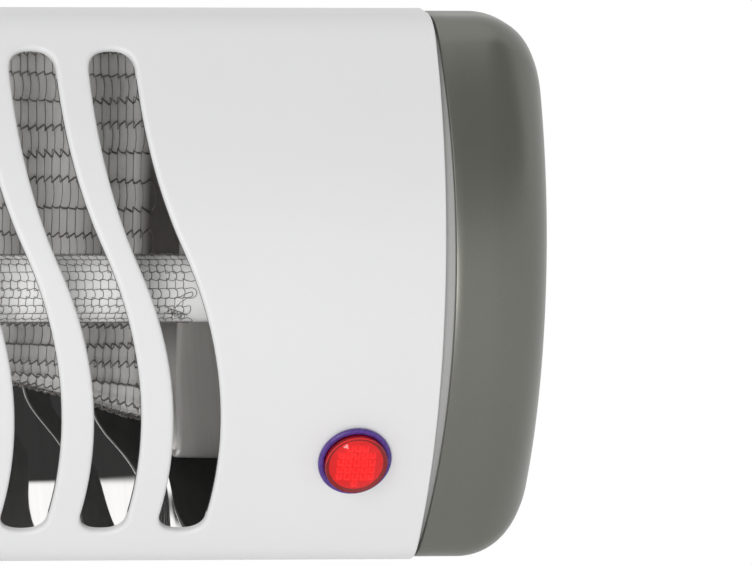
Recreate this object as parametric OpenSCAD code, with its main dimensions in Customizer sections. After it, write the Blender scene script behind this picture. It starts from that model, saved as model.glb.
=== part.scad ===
// Changing table heat lamp: a wall heater with one infrared tube behind a wave grille.
// X runs along the lamp, -Y faces the room and +Z is up. The origin is the middle of
// the wall bracket's back face. Depths count from the foremost line of the housing
// towards the wall, and y_at() turns a depth into Y.

/* [Housing] */
// Length of the white housing between the end caps
housing_l = 403.3; // [401:0.1:425]
// Height of the housing
housing_h = 110; // [109:0.5:112]
// Depth from the front line to the flat back
housing_d = 62; // [61:0.5:64]
// Radius of the bowed front
front_r = 88; // [86:1:94]
// Radius of the long edges above and below the front
corner_r = 10; // [9:0.5:11]
// Thickness of the housing wall
wall_t = 1.6; // [1.4:0.1:1.9]
// Depth at which the rear cover starts to taper
taper_start = 31; // [30:0.5:32]
// How far the taper falls towards the flat back
taper_drop = 15; // [14:0.5:16]

/* [Wave grille] */
// Number of slots
slot_n = 19; // [13:2:19]
// Distance from slot to slot
slot_pitch = 16; // [15:0.5:16]
// Width of a slot, square to its path
slot_w = 9.46; // [8:0.02:9.6]
// Height of a slot's top end above the middle
slot_top = 48.8; // [46:0.1:49.2]
// Height of a slot's bottom end below the middle
slot_bottom = 47.4; // [45:0.1:48.2]
// Height at which the wave turns from one bend to the other
slot_turn = 9.2; // [6:0.05:10]
// Lean of the slot where it turns, in degrees
slot_lean = 25; // [22:0.5:26]
// Radius of the upper bend
upper_bend = 89.3; // [88:0.1:94]
// Radius of the lower bend
lower_bend = 96; // [94:0.5:100]
// Reach of the blunt round at a slot's top
top_round = 4; // [3:0.1:4.4]
// Reach of the blunt round at a slot's bottom
bottom_round = 3.4; // [3:0.1:4.4]

/* [End caps] */
// Length of a cap
cap_w = 23.4; // [22:0.1:26]
// Radius of the rounding to the cap's end
cap_round = 14; // [12:0.5:14]
// How far the cap's surface lies under the housing's
cap_step = 0.5; // [0.3:0.1:0.8]
// Gap between housing and cap at mid-height
gap_mid = 2.2; // [1.6:0.1:2.6]
// Gap between housing and cap near the long edges
gap_edge = 0.75; // [0.5:0.05:1]

/* [Reflector and tube] */
// Depth of the mirror's deepest line
mirror_depth = 42.3; // [41:0.1:43]
// Focal length of the mirror's curve
mirror_focus = 22; // [20.5:0.1:22.5]
// Conic constant of the mirror's curve
mirror_conic = -0.54; // [-0.6:0.01:-0.4]
// How far the mirror's lower wing is opened, in mm per mm of height
mirror_flare = 0.33; // [0:0.01:0.36]
// Half the height of the mirror's opening
mirror_half = 48; // [47:0.5:48.5]
// Height of the mirror's middle
mirror_z = 0.5; // [0:0.5:1]
// Depth of the tube's axis
tube_depth = 21.7; // [21:0.1:23]
// Height of the tube's axis
tube_z = 0; // [-1:0.5:1]
// Radius of the quartz tube
tube_r = 6.6; // [6:0.1:6.8]

/* [Pilot lamp] */
// Distance of the lamp from the housing's right end
lamp_in = 16; // [15:0.5:20]
// Height of the lamp below the middle
lamp_drop = 31.9; // [31:0.1:33]
// Radius of the coloured ring
ring_r = 7.4; // [7:0.1:8]
// Radius of the lens
lens_r = 6.3; // [6:0.1:6.5]
// How far the lens stands out
lens_out = 2.8; // [2.2:0.1:3.4]

/* [Wall bracket and tilt] */
// Distance from the wall to the flat back of the housing
wall_gap = 42; // [42:1:50]
// Distance between the two screw columns
hole_dx = 200; // [180:5:210]
// Distance between the two screw rows
hole_dz = 36; // [30:1:38]
// Radius of a wall screw hole
hole_r = 2.75; // [2.25:0.25:3]
// Distance of the tilt axis from the wall
pivot_out = 26; // [26:1:28]
// Height of the tilt axis below the middle
pivot_drop = 8; // [6:1:10]

/* [Pull switch] */
// Place of the pull rod, left of the middle
pull_x = 150; // [145:1:155]
// Depth of the pull rod
pull_depth = 53.2; // [52.8:0.1:53.6]
// Radius of the pull rod
rod_r = 2.2; // [2:0.1:2.4]
// Radius of the hole for the cord
eye_r = 1.25; // [1:0.05:1.5]

/* [Hidden] */
$fn = 96;
end_x = housing_l / 2;
half_h = housing_h / 2;
wall_depth = housing_d + wall_gap;
pivot_y = -pivot_out;
pivot_z = -pivot_drop;
rear_r = 8;
taper_a = 90 + atan(taper_drop / (housing_d - taper_start));
slot_reach = (slot_n - 1) / 2 * slot_pitch;

// Where the wave of a slot turns, and the middles of its two bends
turn_dir = [cos(slot_lean), sin(slot_lean)];
upper_centre = [0, slot_turn] + upper_bend * turn_dir;
lower_centre = [0, slot_turn] - lower_bend * turn_dir;
bend_steps = 9;

// Clearances between pieces that are screwed or clipped together
slide = 0.5;
fit = 0.06;

// Insets from the housing's outer surface, piece by piece
flange_in = wall_t + 0.2;
flange_t = 1;
rim_in = wall_t + slide;
rim_t = 1.2;
cap_wall = 1.4;
cap_body_wall = 2.4;

// Rear cover
cover_d = taper_start + 0.2;
flange_d = 25;
flange_x = end_x - 5.6;
vent_n = 17;
vent_pitch = 12.5;
vent_w = 3.2;
vent_l = 14;
vent_depth = 46;

// Half the height at which the gap beside the cap is down to gap_edge
gap_edge_z = 50;

// Places along the lamp
mirror_x = end_x - 27;
end_rivet_x = mirror_x - 6;
sleeve_x = end_x - 48.3;
holder_x = end_x - 42;
holder_l = 29;
tube_x = end_x - 31;
rim_x = end_x - 4.6;
rim_l = 16.6;
bulkhead_x = end_x + 3;
bulkhead_t = 1.5;
sheet_t = 0.8;
lip_l = 6;
flare_z = -31.5;
rivet_hole_r = 1.3;

// Tube, sleeve and holders
sleeve_r = 7;
holder_r = 9.5;
groove_at = 15.8;
groove_r = 8.3;
pin_r = 1.5;
clip_rivet_d = 30;
clip_rivet_z = 13;

// Screws: small ones hold covers and caps, larger ones the tilt ears
small_r = 1.6;
small_head_r = 3.2;
small_head_h = 2;
cover_screw_x = end_x - 11.6;
cover_screw_z = 28;
cap_screw_x = end_x + 6;
cap_screw_z = 22;
tab_t = 2.4;
ear_screw_r = 1.9;
ear_screw_head_r = 3.6;
ear_screw_x = 110;
ear_screw_z = 9;

// Wall bracket, ears and knobs
plate_t = 2;
bracket_x = 126;
bracket_half_h = 30;
bracket_foot_z = 26;
tilt_foot_z = 18;
foot_corner_r = 3;
ear_t = 2;
ear_r = 13;
bend_r = 3;
tilt_ear_x = 119.5;
tilt_foot_x = 104;
stud_r = 3;
knob_r = 13;
knob_l = 14;
knob_lobes = 6;

// Pilot lamp
lamp_x = end_x - lamp_in;
lamp_tilt = asin(lamp_drop / front_r);
lamp_body_r = 6;
lamp_body_l = 22;

// Cable gland on the lower taper
gland_x = 150;
gland_depth = 46.5;
gland_bore = 3.6;
gland_r = 6;

// Pull switch
switch_w = 30;
switch_floor = -8;
switch_h = 32;
switch_d = 13.8;
chamber_r = 4.7;
collar_z = 12;
collar_r = 4.3;
eye_z = -54.4;
bush_z = -48.5;
bush_r = 5;
bush_boss_r = 7.4;

// Reflector stays, thermal cutout and terminal block
stay_x = 75;
stay_w = 16;
stay_foot_z = 17;
cutout_x = 45;
cutout_rivet_x = 11;
block_x = 126;
block_w = 30;
pole_d = 54;

// Y of a depth behind the front line
function y_at(depth) = depth - wall_depth;

// Direction square to the surface: 0 faces the room, 90 is up, 180 faces the wall
function facing(a) = [-cos(a), sin(a)];

// A side of the section is [direction, distance from the front line's middle]
function side_on(centre, r, a) = [a, facing(a) * centre + r];

// Corner where two sides meet
function meet(p, q) =
    let (m = facing(p[0]), n = facing(q[0]), det = m[0] * n[1] - m[1] * n[0])
    [(p[1] * n[1] - q[1] * m[1]) / det, (m[0] * q[1] - n[0] * p[1]) / det];

// Centre of the round above the front, for a section set in by s
function front_round(s, r) =
    let (z = half_h - s - r)
    [front_r - sqrt(pow(front_r - s - r, 2) - z * z), z];

// Centre of the round between taper and back
function rear_round(s, r) =
    let (d = housing_d - s - r)
    let (reach = facing(taper_a) * [taper_start, half_h] - s - r)
    [d, (reach + cos(taper_a) * d) / sin(taper_a)];

// Sides of the upper half, from the front over the top to the back
function upper_sides(s) =
    let (rf = max(corner_r - s, 1.5), rb = max(rear_r - s, 1.5))
    let (cf = front_round(s, rf), cb = rear_round(s, rb))
    let (start = asin(cf[1] / (front_r - s - rf)) + 3)
    concat(
        [[0, 2]],
        [for (i = [0:5]) side_on(cf, rf, start + i * (90 - start) / 5)],
        [for (i = [0:4]) side_on(cb, rb, taper_a + i * (180 - taper_a) / 4)]
    );

// Corners of the whole section; its front is left proud for the bow to cut
function section_points(s) =
    let (up = upper_sides(s), n = len(up))
    let (down = [for (i = [n - 2:-1:1]) [360 - up[i][0], up[i][1]]])
    let (all = concat(up, down), m = len(all))
    [for (i = [0:m - 1]) meet(all[i], all[(i + 1) % m]) - [wall_depth, 0]];

// Depth of the mirror at a height over its middle; its lower wing opens from flare_z on
function mirror_at(z) =
    let (c = 1 / (2 * mirror_focus))
    let (sag = c * z * z / (1 + sqrt(1 - mirror_conic * c * c * z * z)))
    mirror_depth - sag + mirror_flare * max(0, flare_z - z);

// The housing's section, set in by s
module section(s) {
    intersection() {
        polygon(section_points(s));
        translate([y_at(front_r), 0]) circle(r = front_r - s);
    }
}

// Band of the section between two insets and two depths
module band(outer, inner, d0, d1) {
    difference() {
        intersection() {
            section(outer);
            translate([y_at(d0), -half_h - 1]) square([d1 - d0, housing_h + 2]);
        }
        section(inner);
    }
}

// Pulls a profile drawn in Y and Z from x0 to x1
module along_x(x0, x1) {
    translate([x0, 0, 0]) rotate([90, 0, 90]) linear_extrude(x1 - x0) children();
}

// Cylinder along X between two places
module rod_x(x0, x1, r) {
    translate([x0, 0, 0]) rotate([0, 90, 0]) cylinder(r = r, h = x1 - x0);
}

// Cylinder along Y between two depths
module rod_y(d0, d1, r) {
    translate([0, y_at(d0), 0]) rotate([-90, 0, 0]) cylinder(r = r, h = d1 - d0);
}

// Block between two depths and two heights
module block(x0, x1, d0, d1, z0, z1) {
    translate([x0, y_at(d0), z0]) cube([x1 - x0, d1 - d0, z1 - z0]);
}

// A piece drawn for the right-hand end, or its mirror image for the left
module on_side(s) {
    if (s > 0) children();
    else mirror([1, 0, 0]) children();
}

// Both ends of the lamp
module both_sides() {
    for (s = [-1, 1]) on_side(s) children();
}

// Sheet steel bracket: a plate on the wall with an ear folded out at each end
module wall_bracket() {
    color("gainsboro")
    difference() {
        union() {
            rotate([90, 0, 0]) linear_extrude(plate_t) bracket_plate();
            both_sides() {
                along_x(bracket_x - ear_t, bracket_x) ear_outline(-bend_r, bracket_foot_z, ear_r);
                translate([bracket_x - bend_r, -bend_r, 0]) fold(bracket_foot_z);
            }
        }
        for (x = [-1, 1], z = [-1, 1])
            translate([x * hole_dx / 2, -plate_t - 1, z * hole_dz / 2])
                rotate([-90, 0, 0]) cylinder(r = hole_r, h = plate_t + 2);
        translate([0, pivot_y, pivot_z]) rod_x(-bracket_x - 1, bracket_x + 1, stud_r + fit);
    }
}

// The bracket's plate between its folds, with rounded corners above and below them
module bracket_plate() {
    flat = bracket_x - bend_r;
    difference() {
        square([2 * flat, 2 * bracket_half_h], center = true);
        for (quarter = [0, 1, 2, 3])
            round_corner(flat * (quarter % 3 == 0 ? 1 : -1), bracket_half_h * (quarter < 2 ? 1 : -1),
                quarter, bracket_half_h - bracket_foot_z);
    }
}

// What is cut off a square corner to round it; quarter 0 is up and to the right
module round_corner(x, z, quarter, r) {
    translate([x, z]) rotate(90 * quarter) translate([-r, -r])
        difference() {
            square(r + 1);
            circle(r = r);
        }
}

// Quarter bend of the sheet about Z, from -half to half, in the corner between X and Y
module fold(half) {
    translate([0, 0, -half]) linear_extrude(2 * half)
        intersection() {
            difference() {
                circle(r = bend_r);
                circle(r = bend_r - ear_t);
            }
            square(bend_r);
        }
}

// An ear's outline in Y and Z: wide at its foot, round about the tilt axis
module ear_outline(foot_y, foot_half, r) {
    polygon([
        [foot_y, foot_half], [pivot_y, pivot_z + r - 1],
        [pivot_y, pivot_z - r + 1], [foot_y, -foot_half]
    ]);
    translate([pivot_y, pivot_z]) circle(r = r);
}

// Fibre washer between the two ears: its friction holds the tilt
module pivot_washer(s) {
    color("saddlebrown")
    on_side(s) translate([0, pivot_y, pivot_z])
        difference() {
            rod_x(tilt_ear_x + ear_t + 0.1, bracket_x - ear_t - 0.1, 10);
            rod_x(tilt_ear_x, bracket_x, stud_r + fit);
        }
}

// Angle on the back of the housing that turns about the stud
module tilt_ear(s) {
    back_y = y_at(housing_d);
    color("gainsboro")
    on_side(s)
        difference() {
            union() {
                translate([0, back_y + ear_t, 0]) rotate([90, 0, 0]) linear_extrude(ear_t) tilt_foot();
                along_x(tilt_ear_x, tilt_ear_x + ear_t) ear_outline(back_y + bend_r, tilt_foot_z, ear_r - 1);
                translate([tilt_ear_x + ear_t - bend_r, back_y + bend_r, 0])
                    mirror([0, 1, 0]) fold(tilt_foot_z);
            }
            translate([0, pivot_y, pivot_z]) rod_x(tilt_ear_x - 1, bracket_x, stud_r + fit);
            for (z = [-1, 1])
                translate([ear_screw_x, 0, z * ear_screw_z])
                    rod_y(housing_d - 1, housing_d + ear_t + 1, ear_screw_r + fit);
        }
}

// The tilt ear's foot up to its fold
module tilt_foot() {
    difference() {
        translate([tilt_foot_x, -tilt_foot_z])
            square([tilt_ear_x + ear_t - bend_r - tilt_foot_x, 2 * tilt_foot_z]);
        round_corner(tilt_foot_x, tilt_foot_z, 1, foot_corner_r);
        round_corner(tilt_foot_x, -tilt_foot_z, 2, foot_corner_r);
    }
}

// Screws through the tilt ears' feet into the housing
module ear_screws() {
    head_d = housing_d + ear_t;
    color("silver")
    both_sides() for (z = [-1, 1]) translate([ear_screw_x, 0, z * ear_screw_z])
        difference() {
            union() {
                rod_y(housing_d - 8, head_d + 1, ear_screw_r);
                rod_y(head_d, head_d + 2.4, ear_screw_head_r);
            }
            translate([-2.6, y_at(head_d + 1.4), -0.5]) cube([5.2, 2, 1]);
            translate([-0.5, y_at(head_d + 1.4), -2.6]) cube([1, 2, 5.2]);
        }
}

// Hexagon nuts on those screws, inside the cover
module ear_nuts() {
    inner_d = housing_d - wall_t;
    color("silver")
    both_sides() for (z = [-1, 1]) translate([ear_screw_x, 0, z * ear_screw_z])
        hex_nut(inner_d - 3.2, inner_d, 4, ear_screw_r + fit);
}

// Hexagon nut along Y between two depths
module hex_nut(d0, d1, r, bore) {
    difference() {
        translate([0, y_at(d0), 0]) rotate([-90, 0, 0]) cylinder(r = r, h = d1 - d0, $fn = 6);
        rod_y(d0 - 1, d1 + 1, bore);
    }
}

// Nuts on the inner side of the tilt ears that the studs screw into
module pivot_nuts() {
    color("silver")
    both_sides() translate([0, pivot_y, pivot_z])
        difference() {
            translate([tilt_ear_x - 5, 0, 0]) rotate([0, 90, 0]) cylinder(r = 5.8, h = 5, $fn = 6);
            rod_x(tilt_ear_x - 6, tilt_ear_x + 1, stud_r + fit);
        }
}

// Steel stud that is the tilt axis and clamps the ears together
module lock_stud(s) {
    color("silver")
    on_side(s) translate([0, pivot_y, pivot_z]) rod_x(tilt_ear_x - 7, bracket_x + 10, stud_r);
}

// Lobed hand knob on the stud
module lock_knob(s) {
    color("dimgray")
    on_side(s) translate([bracket_x + 0.3, pivot_y, pivot_z]) rotate([0, 90, 0])
        difference() {
            rotate_extrude() polygon([
                [0, 10.2], [stud_r + 0.02, 10.2], [stud_r + 0.02, 0], [7.5, 0], [8, 1.4], [knob_r, 2.6],
                [knob_r, knob_l - 3.4], [knob_r - 0.9, knob_l - 1.4], [knob_r - 3, knob_l], [0, knob_l - 0.6]
            ]);
            for (i = [0:knob_lobes - 1]) rotate((i + 0.5) * 360 / knob_lobes)
                translate([knob_r + 2.2, 0, 1.8]) cylinder(r = 4.4, h = knob_l);
        }
}

// One edge of a slot as [x, z], set off by s from its middle line: the upper bend from
// top to turn, then the lower bend from turn to bottom
function slot_edge(s) =
    let (ru = upper_bend - s, rl = lower_bend + s)
    let (a0 = asin((upper_centre[1] - slot_top + top_round) / ru))
    let (a1 = asin((lower_centre[1] + slot_bottom - bottom_round) / -rl))
    concat(
        [for (i = [0:bend_steps - 1]) let (a = a0 + i * (slot_lean - a0) / bend_steps)
            upper_centre - ru * [cos(a), sin(a)]],
        [for (i = [0:bend_steps]) let (a = slot_lean + i * (a1 - slot_lean) / bend_steps)
            lower_centre + rl * [cos(a), sin(a)]]
    );

// Rounded end from point p over to point q, standing out by h, as part of a superellipse
function slot_end(p, q, h) =
    let (m = (p + q) / 2, half = (q - p) / 2, steps = 8, power = 2 / 2.4)
    [for (i = [1:steps - 1]) let (a = 180 - i * 180 / steps)
        m + half * sign(cos(a)) * pow(abs(cos(a)), power) + [0, h * pow(sin(a), power)]];

// Closed outline of a slot
function slot_points() =
    let (left = slot_edge(-slot_w / 2), right = slot_edge(slot_w / 2), n = len(left))
    concat(
        slot_end(left[0], right[0], top_round), right,
        slot_end(right[n - 1], left[n - 1], -bottom_round), [for (i = [n - 1:-1:0]) left[i]]
    );

// White bowed front with the wave grille and the hole for the pilot lamp
module front_housing() {
    color("whitesmoke")
    difference() {
        along_x(-end_x, end_x) band(0, wall_t, -1, taper_start - 0.2);
        for (i = [0:slot_n - 1])
            translate([i * slot_pitch - slot_reach, y_at(24), 0])
                rotate([90, 0, 0]) linear_extrude(28) polygon(slot_points());
        on_lamp() translate([0, 0, -6]) cylinder(r = lamp_body_r + 0.15, h = 12);
    }
}

// Rear cover: tapered sides, flat back, air vents, and a flange that laps inside the front
module rear_cover() {
    color("lightgray")
    difference() {
        union() {
            along_x(-end_x, end_x) band(0, wall_t, cover_d, housing_d + 1);
            along_x(-flange_x, flange_x) band(flange_in, flange_in + flange_t, flange_d, cover_d + 2);
            along_x(-flange_x, flange_x) band(wall_t - 0.1, flange_in + flange_t, cover_d, cover_d + 2);
            translate([-pull_x, y_at(pull_depth), bush_z]) cylinder(r = bush_boss_r, h = 8);
        }
        vents();
        both_sides() {
            for (z = [-1, 1]) {
                translate([cover_screw_x, 0, z * cover_screw_z]) back_hole(small_r + 0.3);
                translate([stay_x, 0, z * stay_foot_z]) back_hole(small_r + 0.3);
                translate([ear_screw_x, 0, z * ear_screw_z]) back_hole(ear_screw_r + fit);
            }
        }
        translate([-pull_x, y_at(pull_depth), bush_z - 1]) cylinder(r = bush_r + 0.1, h = 16);
        on_gland() translate([0, 0, -8]) cylinder(r = gland_r + 0.1, h = 12);
    }
}

// Hole through the flat back of cover and caps
module back_hole(r) {
    rod_y(housing_d - 5, housing_d + 2, r);
}

// Rows of long holes through the upper and the lower taper
module vents() {
    for (i = [0:vent_n - 1])
        translate([(i - (vent_n - 1) / 2) * vent_pitch, y_at(vent_depth), -half_h - 1])
            linear_extrude(housing_h + 2) {
                square([vent_w, vent_l - vent_w], center = true);
                for (s = [-1, 1]) translate([0, s * (vent_l - vent_w) / 2]) circle(r = vent_w / 2 + 0.001);
            }
}

// Frame inside each end: its rim shows as a pale line between housing and cap, its
// bulkhead closes the housing, and its tabs take the screws of cover and cap
module end_frame(s) {
    rim_inner = rim_in + rim_t;
    tab_d = housing_d - rim_in - tab_t;
    color("lightgray")
    on_side(s)
        difference() {
            union() {
                along_x(rim_x, rim_x + rim_l)
                    difference() {
                        section(rim_in);
                        section(rim_inner);
                    }
                along_x(bulkhead_x, bulkhead_x + bulkhead_t) section(rim_inner - 0.1);
                for (z = [-1, 1]) {
                    block(cover_screw_x - 6, rim_x + 3, tab_d, tab_d + tab_t - 0.1,
                        z * cover_screw_z - 6, z * cover_screw_z + 6);
                    block(bulkhead_x + 0.5, cap_screw_x + 5, tab_d - 1, tab_d + tab_t - 0.1,
                        z * cap_screw_z - 5, z * cap_screw_z + 5);
                }
            }
            for (z = [-1, 1]) {
                translate([cover_screw_x, 0, z * cover_screw_z]) rod_y(tab_d - 3, housing_d, small_r + fit);
                translate([cap_screw_x, 0, z * cap_screw_z]) rod_y(tab_d - 3, housing_d, small_r + fit);
            }
        }
}

// Pillow-shaped body that the cap's outside and its hollow are both made from
module cap_form(s, round, steps) {
    hull() {
        along_x(end_x - (s > cap_step ? 1 : 0), end_x + 0.1) section(s);
        for (i = [0:steps])
            let (a = i * 90 / steps, x = end_x + cap_w - cap_round + round * sin(a))
                along_x(x - 0.02, x) section(s + round * (1 - cos(a)), $fn = 72);
    }
}

// Moulded end cap: rounded all round, hollow, its inner edge bowed away from the housing
module end_cap(s) {
    bow = gap_mid - gap_edge;
    bow_r = (bow * bow + gap_edge_z * gap_edge_z) / (2 * bow);
    inner = cap_step + cap_body_wall;
    color([0.47, 0.47, 0.44])
    on_side(s)
        difference() {
            cap_form(cap_step, cap_round, 7);
            cap_form(inner, cap_round - cap_body_wall, 5);
            along_x(end_x - 1, rim_x + rim_l + slide) section(cap_step + cap_wall);
            translate([end_x + gap_mid - bow_r, 0, 0])
                rotate([90, 0, 0]) cylinder(r = bow_r, h = 3 * wall_depth, center = true, $fn = 720);
            for (z = [-1, 1]) translate([cap_screw_x, 0, z * cap_screw_z]) back_hole(small_r + 0.3);
        }
}

// Self-tapping screw along Y with its head's underside at a depth
module small_screw(head_d, l) {
    difference() {
        union() {
            rod_y(head_d - l, head_d + 0.5, small_r);
            rod_y(head_d, head_d + small_head_h, small_head_r);
        }
        translate([-2.2, y_at(head_d + 1.2), -0.45]) cube([4.4, 2, 0.9]);
        translate([-0.45, y_at(head_d + 1.2), -2.2]) cube([0.9, 2, 4.4]);
    }
}

// Screws through the backs of the end caps
module cap_screws() {
    color("silver")
    both_sides() for (z = [-1, 1])
        translate([cap_screw_x, 0, z * cap_screw_z]) small_screw(housing_d - cap_step, 5.5);
}

// Screws through the rear cover into the end frames and the reflector's stays
module cover_screws() {
    color("silver")
    both_sides() for (z = [-1, 1]) {
        translate([cover_screw_x, 0, z * cover_screw_z]) small_screw(housing_d, 6);
        translate([stay_x, 0, z * stay_foot_z]) small_screw(housing_d, 5);
    }
}

// Points of the mirror's curve, shifted back by a distance
function mirror_points(back) =
    [for (i = [-24:24]) let (z = i / 24 * mirror_half) [y_at(mirror_at(z) + back), mirror_z + z]];

// Polished trough behind the tube, its long edges folded back as lips
module reflector() {
    front = mirror_points(0);
    back = mirror_points(sheet_t);
    lip = [[0, mirror_half + sheet_t], [lip_l, mirror_half + sheet_t], [lip_l, mirror_half]];
    upper_y = y_at(mirror_at(mirror_half));
    lower_y = y_at(mirror_at(-mirror_half));
    upper_lip = [for (p = lip) [upper_y + p[0], mirror_z + p[1]]];
    lower_lip = [for (i = [2:-1:0]) [lower_y + lip[i][0], mirror_z - lip[i][1]]];
    color("silver")
    difference() {
        along_x(-mirror_x, mirror_x)
            polygon(concat(front, upper_lip, [for (i = [len(back) - 1:-1:0]) back[i]], lower_lip));
        both_sides() for (x = [stay_x, end_rivet_x]) mirror_hole(x);
        for (x = [-1, 1]) mirror_hole(cutout_x + x * cutout_rivet_x);
    }
}

// Rivet hole through the sheets at the mirror's middle
module mirror_hole(x) {
    translate([x, 0, mirror_z]) rod_y(mirror_depth - 4, mirror_depth + 4, rivet_hole_r);
}

// Plate across the trough's end with the hole for the tube's holder
module reflector_end(s) {
    color("silver")
    on_side(s)
        difference() {
            union() {
                along_x(mirror_x, mirror_x + sheet_t)
                    intersection() {
                        section(3.5);
                        polygon(concat([[y_at(6), -half_h]], mirror_points(3), [[y_at(6), half_h]]));
                    }
                block(mirror_x - 10, mirror_x + sheet_t, mirror_depth + sheet_t + 0.05,
                    mirror_depth + 2 * sheet_t, mirror_z - 5, mirror_z + 5);
            }
            translate([0, y_at(tube_depth), tube_z]) rod_x(mirror_x - 1, mirror_x + 2, holder_r + 0.15);
            mirror_hole(end_rivet_x);
            for (z = [-1, 1])
                translate([0, y_at(clip_rivet_d), tube_z + z * clip_rivet_z])
                    rod_x(mirror_x - 1, mirror_x + 2, rivet_hole_r);
        }
}

// Hat-shaped bracket from the trough's back to the rear cover
module reflector_stay(s) {
    top = mirror_depth + sheet_t + 0.05;
    foot = housing_d - wall_t;
    half = [
        [y_at(top), 6.5], [y_at(foot - 1), 12.7], [y_at(foot - 1), 22],
        [y_at(foot), 22], [y_at(foot), 11.9], [y_at(top + 0.8), 5.7]
    ];
    color("silver")
    on_side(s)
        difference() {
            along_x(stay_x - stay_w / 2, stay_x + stay_w / 2)
                polygon(concat(half, [for (i = [5:-1:0]) [half[i][0], -half[i][1]]]));
            mirror_hole(stay_x);
            for (z = [-1, 1])
                translate([stay_x, 0, z * stay_foot_z]) rod_y(foot - 2, foot + 1, small_r + fit);
        }
}

// Rivet along its own axis: a shank with a head at each end
module rivet(l) {
    cylinder(r = 1.2, h = l);
    translate([0, 0, -0.1]) cylinder(r1 = 1.9, r2 = 2.2, h = 0.5);
    translate([0, 0, l - 0.6]) cylinder(r1 = 2.2, r2 = 1.7, h = 0.6);
}

// Rivets of stays, end plates, cutout and holder clips
module reflector_rivets() {
    color("silver") {
        both_sides() {
            for (x = [stay_x, end_rivet_x]) on_mirror_back(x) rivet(3.1);
            for (z = [-1, 1])
                translate([mirror_x - 0.45, y_at(clip_rivet_d), tube_z + z * clip_rivet_z])
                    rotate([0, 90, 0]) rivet(3.3);
        }
        for (x = [-1, 1]) on_mirror_back(cutout_x + x * cutout_rivet_x) rivet(3.1);
    }
}

// Places things at the mirror's deepest line, with Z towards the wall
module on_mirror_back(x) {
    translate([x, y_at(mirror_depth - 0.6), mirror_z]) rotate([-90, 0, 0]) children();
}

// Places things along the tube's axis, with Z along the lamp
module on_tube(x) {
    translate([x, y_at(tube_depth), tube_z]) rotate([0, 90, 0]) children();
}

// Milky quartz tube
module quartz_tube() {
    color("lightblue")
    on_tube(-tube_x)
        difference() {
            cylinder(r = tube_r, h = 2 * tube_x);
            translate([0, 0, -1]) cylinder(r = tube_r - 1.1, h = 2 * tube_x + 2);
        }
}

// Close-wound resistance coil, drawn as its outer form, with a straight tail at each end
module heating_coil() {
    coil_l = 2 * (tube_x - 6);
    turns = 110;
    pitch = coil_l / turns;
    tail = tube_x + 0.9;
    color("orange")
    on_tube(0) {
        translate([0, 0, -coil_l / 2]) rotate_extrude() polygon(concat(
            [[0.8, 0]],
            [for (i = [0:turns - 1], j = [0, 1]) [j == 0 ? 2.9 : 3.5, (i + j / 2) * pitch]],
            [[2.9, coil_l], [0.8, coil_l]]
        ));
        translate([0, 0, -tail]) cylinder(r = 0.81, h = 2 * tail);
    }
}

// Knitted wire sleeve over the tube, drawn as a plain thin tube
module mesh_sleeve() {
    color("gray")
    on_tube(-sleeve_x)
        difference() {
            cylinder(r = sleeve_r, h = 2 * sleeve_x);
            translate([0, 0, -1]) cylinder(r = tube_r + 0.1, h = 2 * sleeve_x + 2);
        }
}

// Ceramic holder: a deep socket for the tube, a groove for its clip and a hole for the pin
module ceramic_holder(s) {
    color("ivory")
    on_side(s) on_tube(holder_x)
        rotate_extrude() polygon([
            [tube_r + 0.15, 0], [holder_r - 0.8, 0], [holder_r, 0.8], [holder_r, groove_at],
            [groove_r, groove_at], [groove_r, groove_at + 1.5], [holder_r, groove_at + 1.5],
            [holder_r, holder_l - 0.8], [holder_r - 0.8, holder_l], [pin_r + 0.15, holder_l],
            [pin_r + 0.15, 12], [tube_r + 0.15, 12]
        ]);
}

// Forked plate that drops into the holder's groove and is riveted to the end plate
module holder_clip(s) {
    color("silver")
    on_side(s)
        difference() {
            block(holder_x + groove_at + 0.15, holder_x + groove_at + 1.35, 13, 35, tube_z - 17, tube_z + 17);
            translate([0, y_at(tube_depth), tube_z]) rod_x(holder_x, end_x, groove_r + 0.15);
            block(holder_x, end_x, 12, tube_depth, tube_z - groove_r - 0.15, tube_z + groove_r + 0.15);
            for (z = [-1, 1])
                translate([0, y_at(clip_rivet_d), tube_z + z * clip_rivet_z])
                    rod_x(holder_x, end_x, rivet_hole_r);
        }
}

// Pin of the element with its flat tab for the lead
module element_terminal(s) {
    color("silver")
    on_side(s) {
        on_tube(tube_x + 1) cylinder(r = pin_r, h = end_x - 9 - tube_x);
        block(end_x - 9, end_x - 2, tube_depth - 0.4, tube_depth + 0.4, tube_z - 3.15, tube_z + 3.15);
    }
}

// Places things at the pilot lamp, with Z square out of the housing's surface
module on_lamp() {
    translate([lamp_x, y_at(front_r - sqrt(front_r * front_r - lamp_drop * lamp_drop)), -lamp_drop])
        rotate([90 + lamp_tilt, 0, 0]) children();
}

// Coloured ring round the lens, with a lip under it
module pilot_bezel() {
    color("slateblue")
    on_lamp() rotate_extrude() polygon([
        [lamp_body_r + 0.05, 0.03], [ring_r, 0.03], [ring_r, 0.6], [ring_r - 0.25, 0.85],
        [lens_r + 0.1, 0.85], [lens_r + 0.1, 0.35], [lamp_body_r + 0.05, 0.35]
    ]);
}

// Red lens with a low dome and a spigot into the lamp's body
module pilot_lens() {
    dome_r = 24;
    color("red")
    on_lamp() {
        intersection() {
            translate([0, 0, 0.4]) cylinder(r = lens_r, h = 4);
            translate([0, 0, lens_out - dome_r]) sphere(r = dome_r);
        }
        translate([0, 0, -3]) cylinder(r = lamp_body_r - 1.1, h = 4);
    }
}

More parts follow.
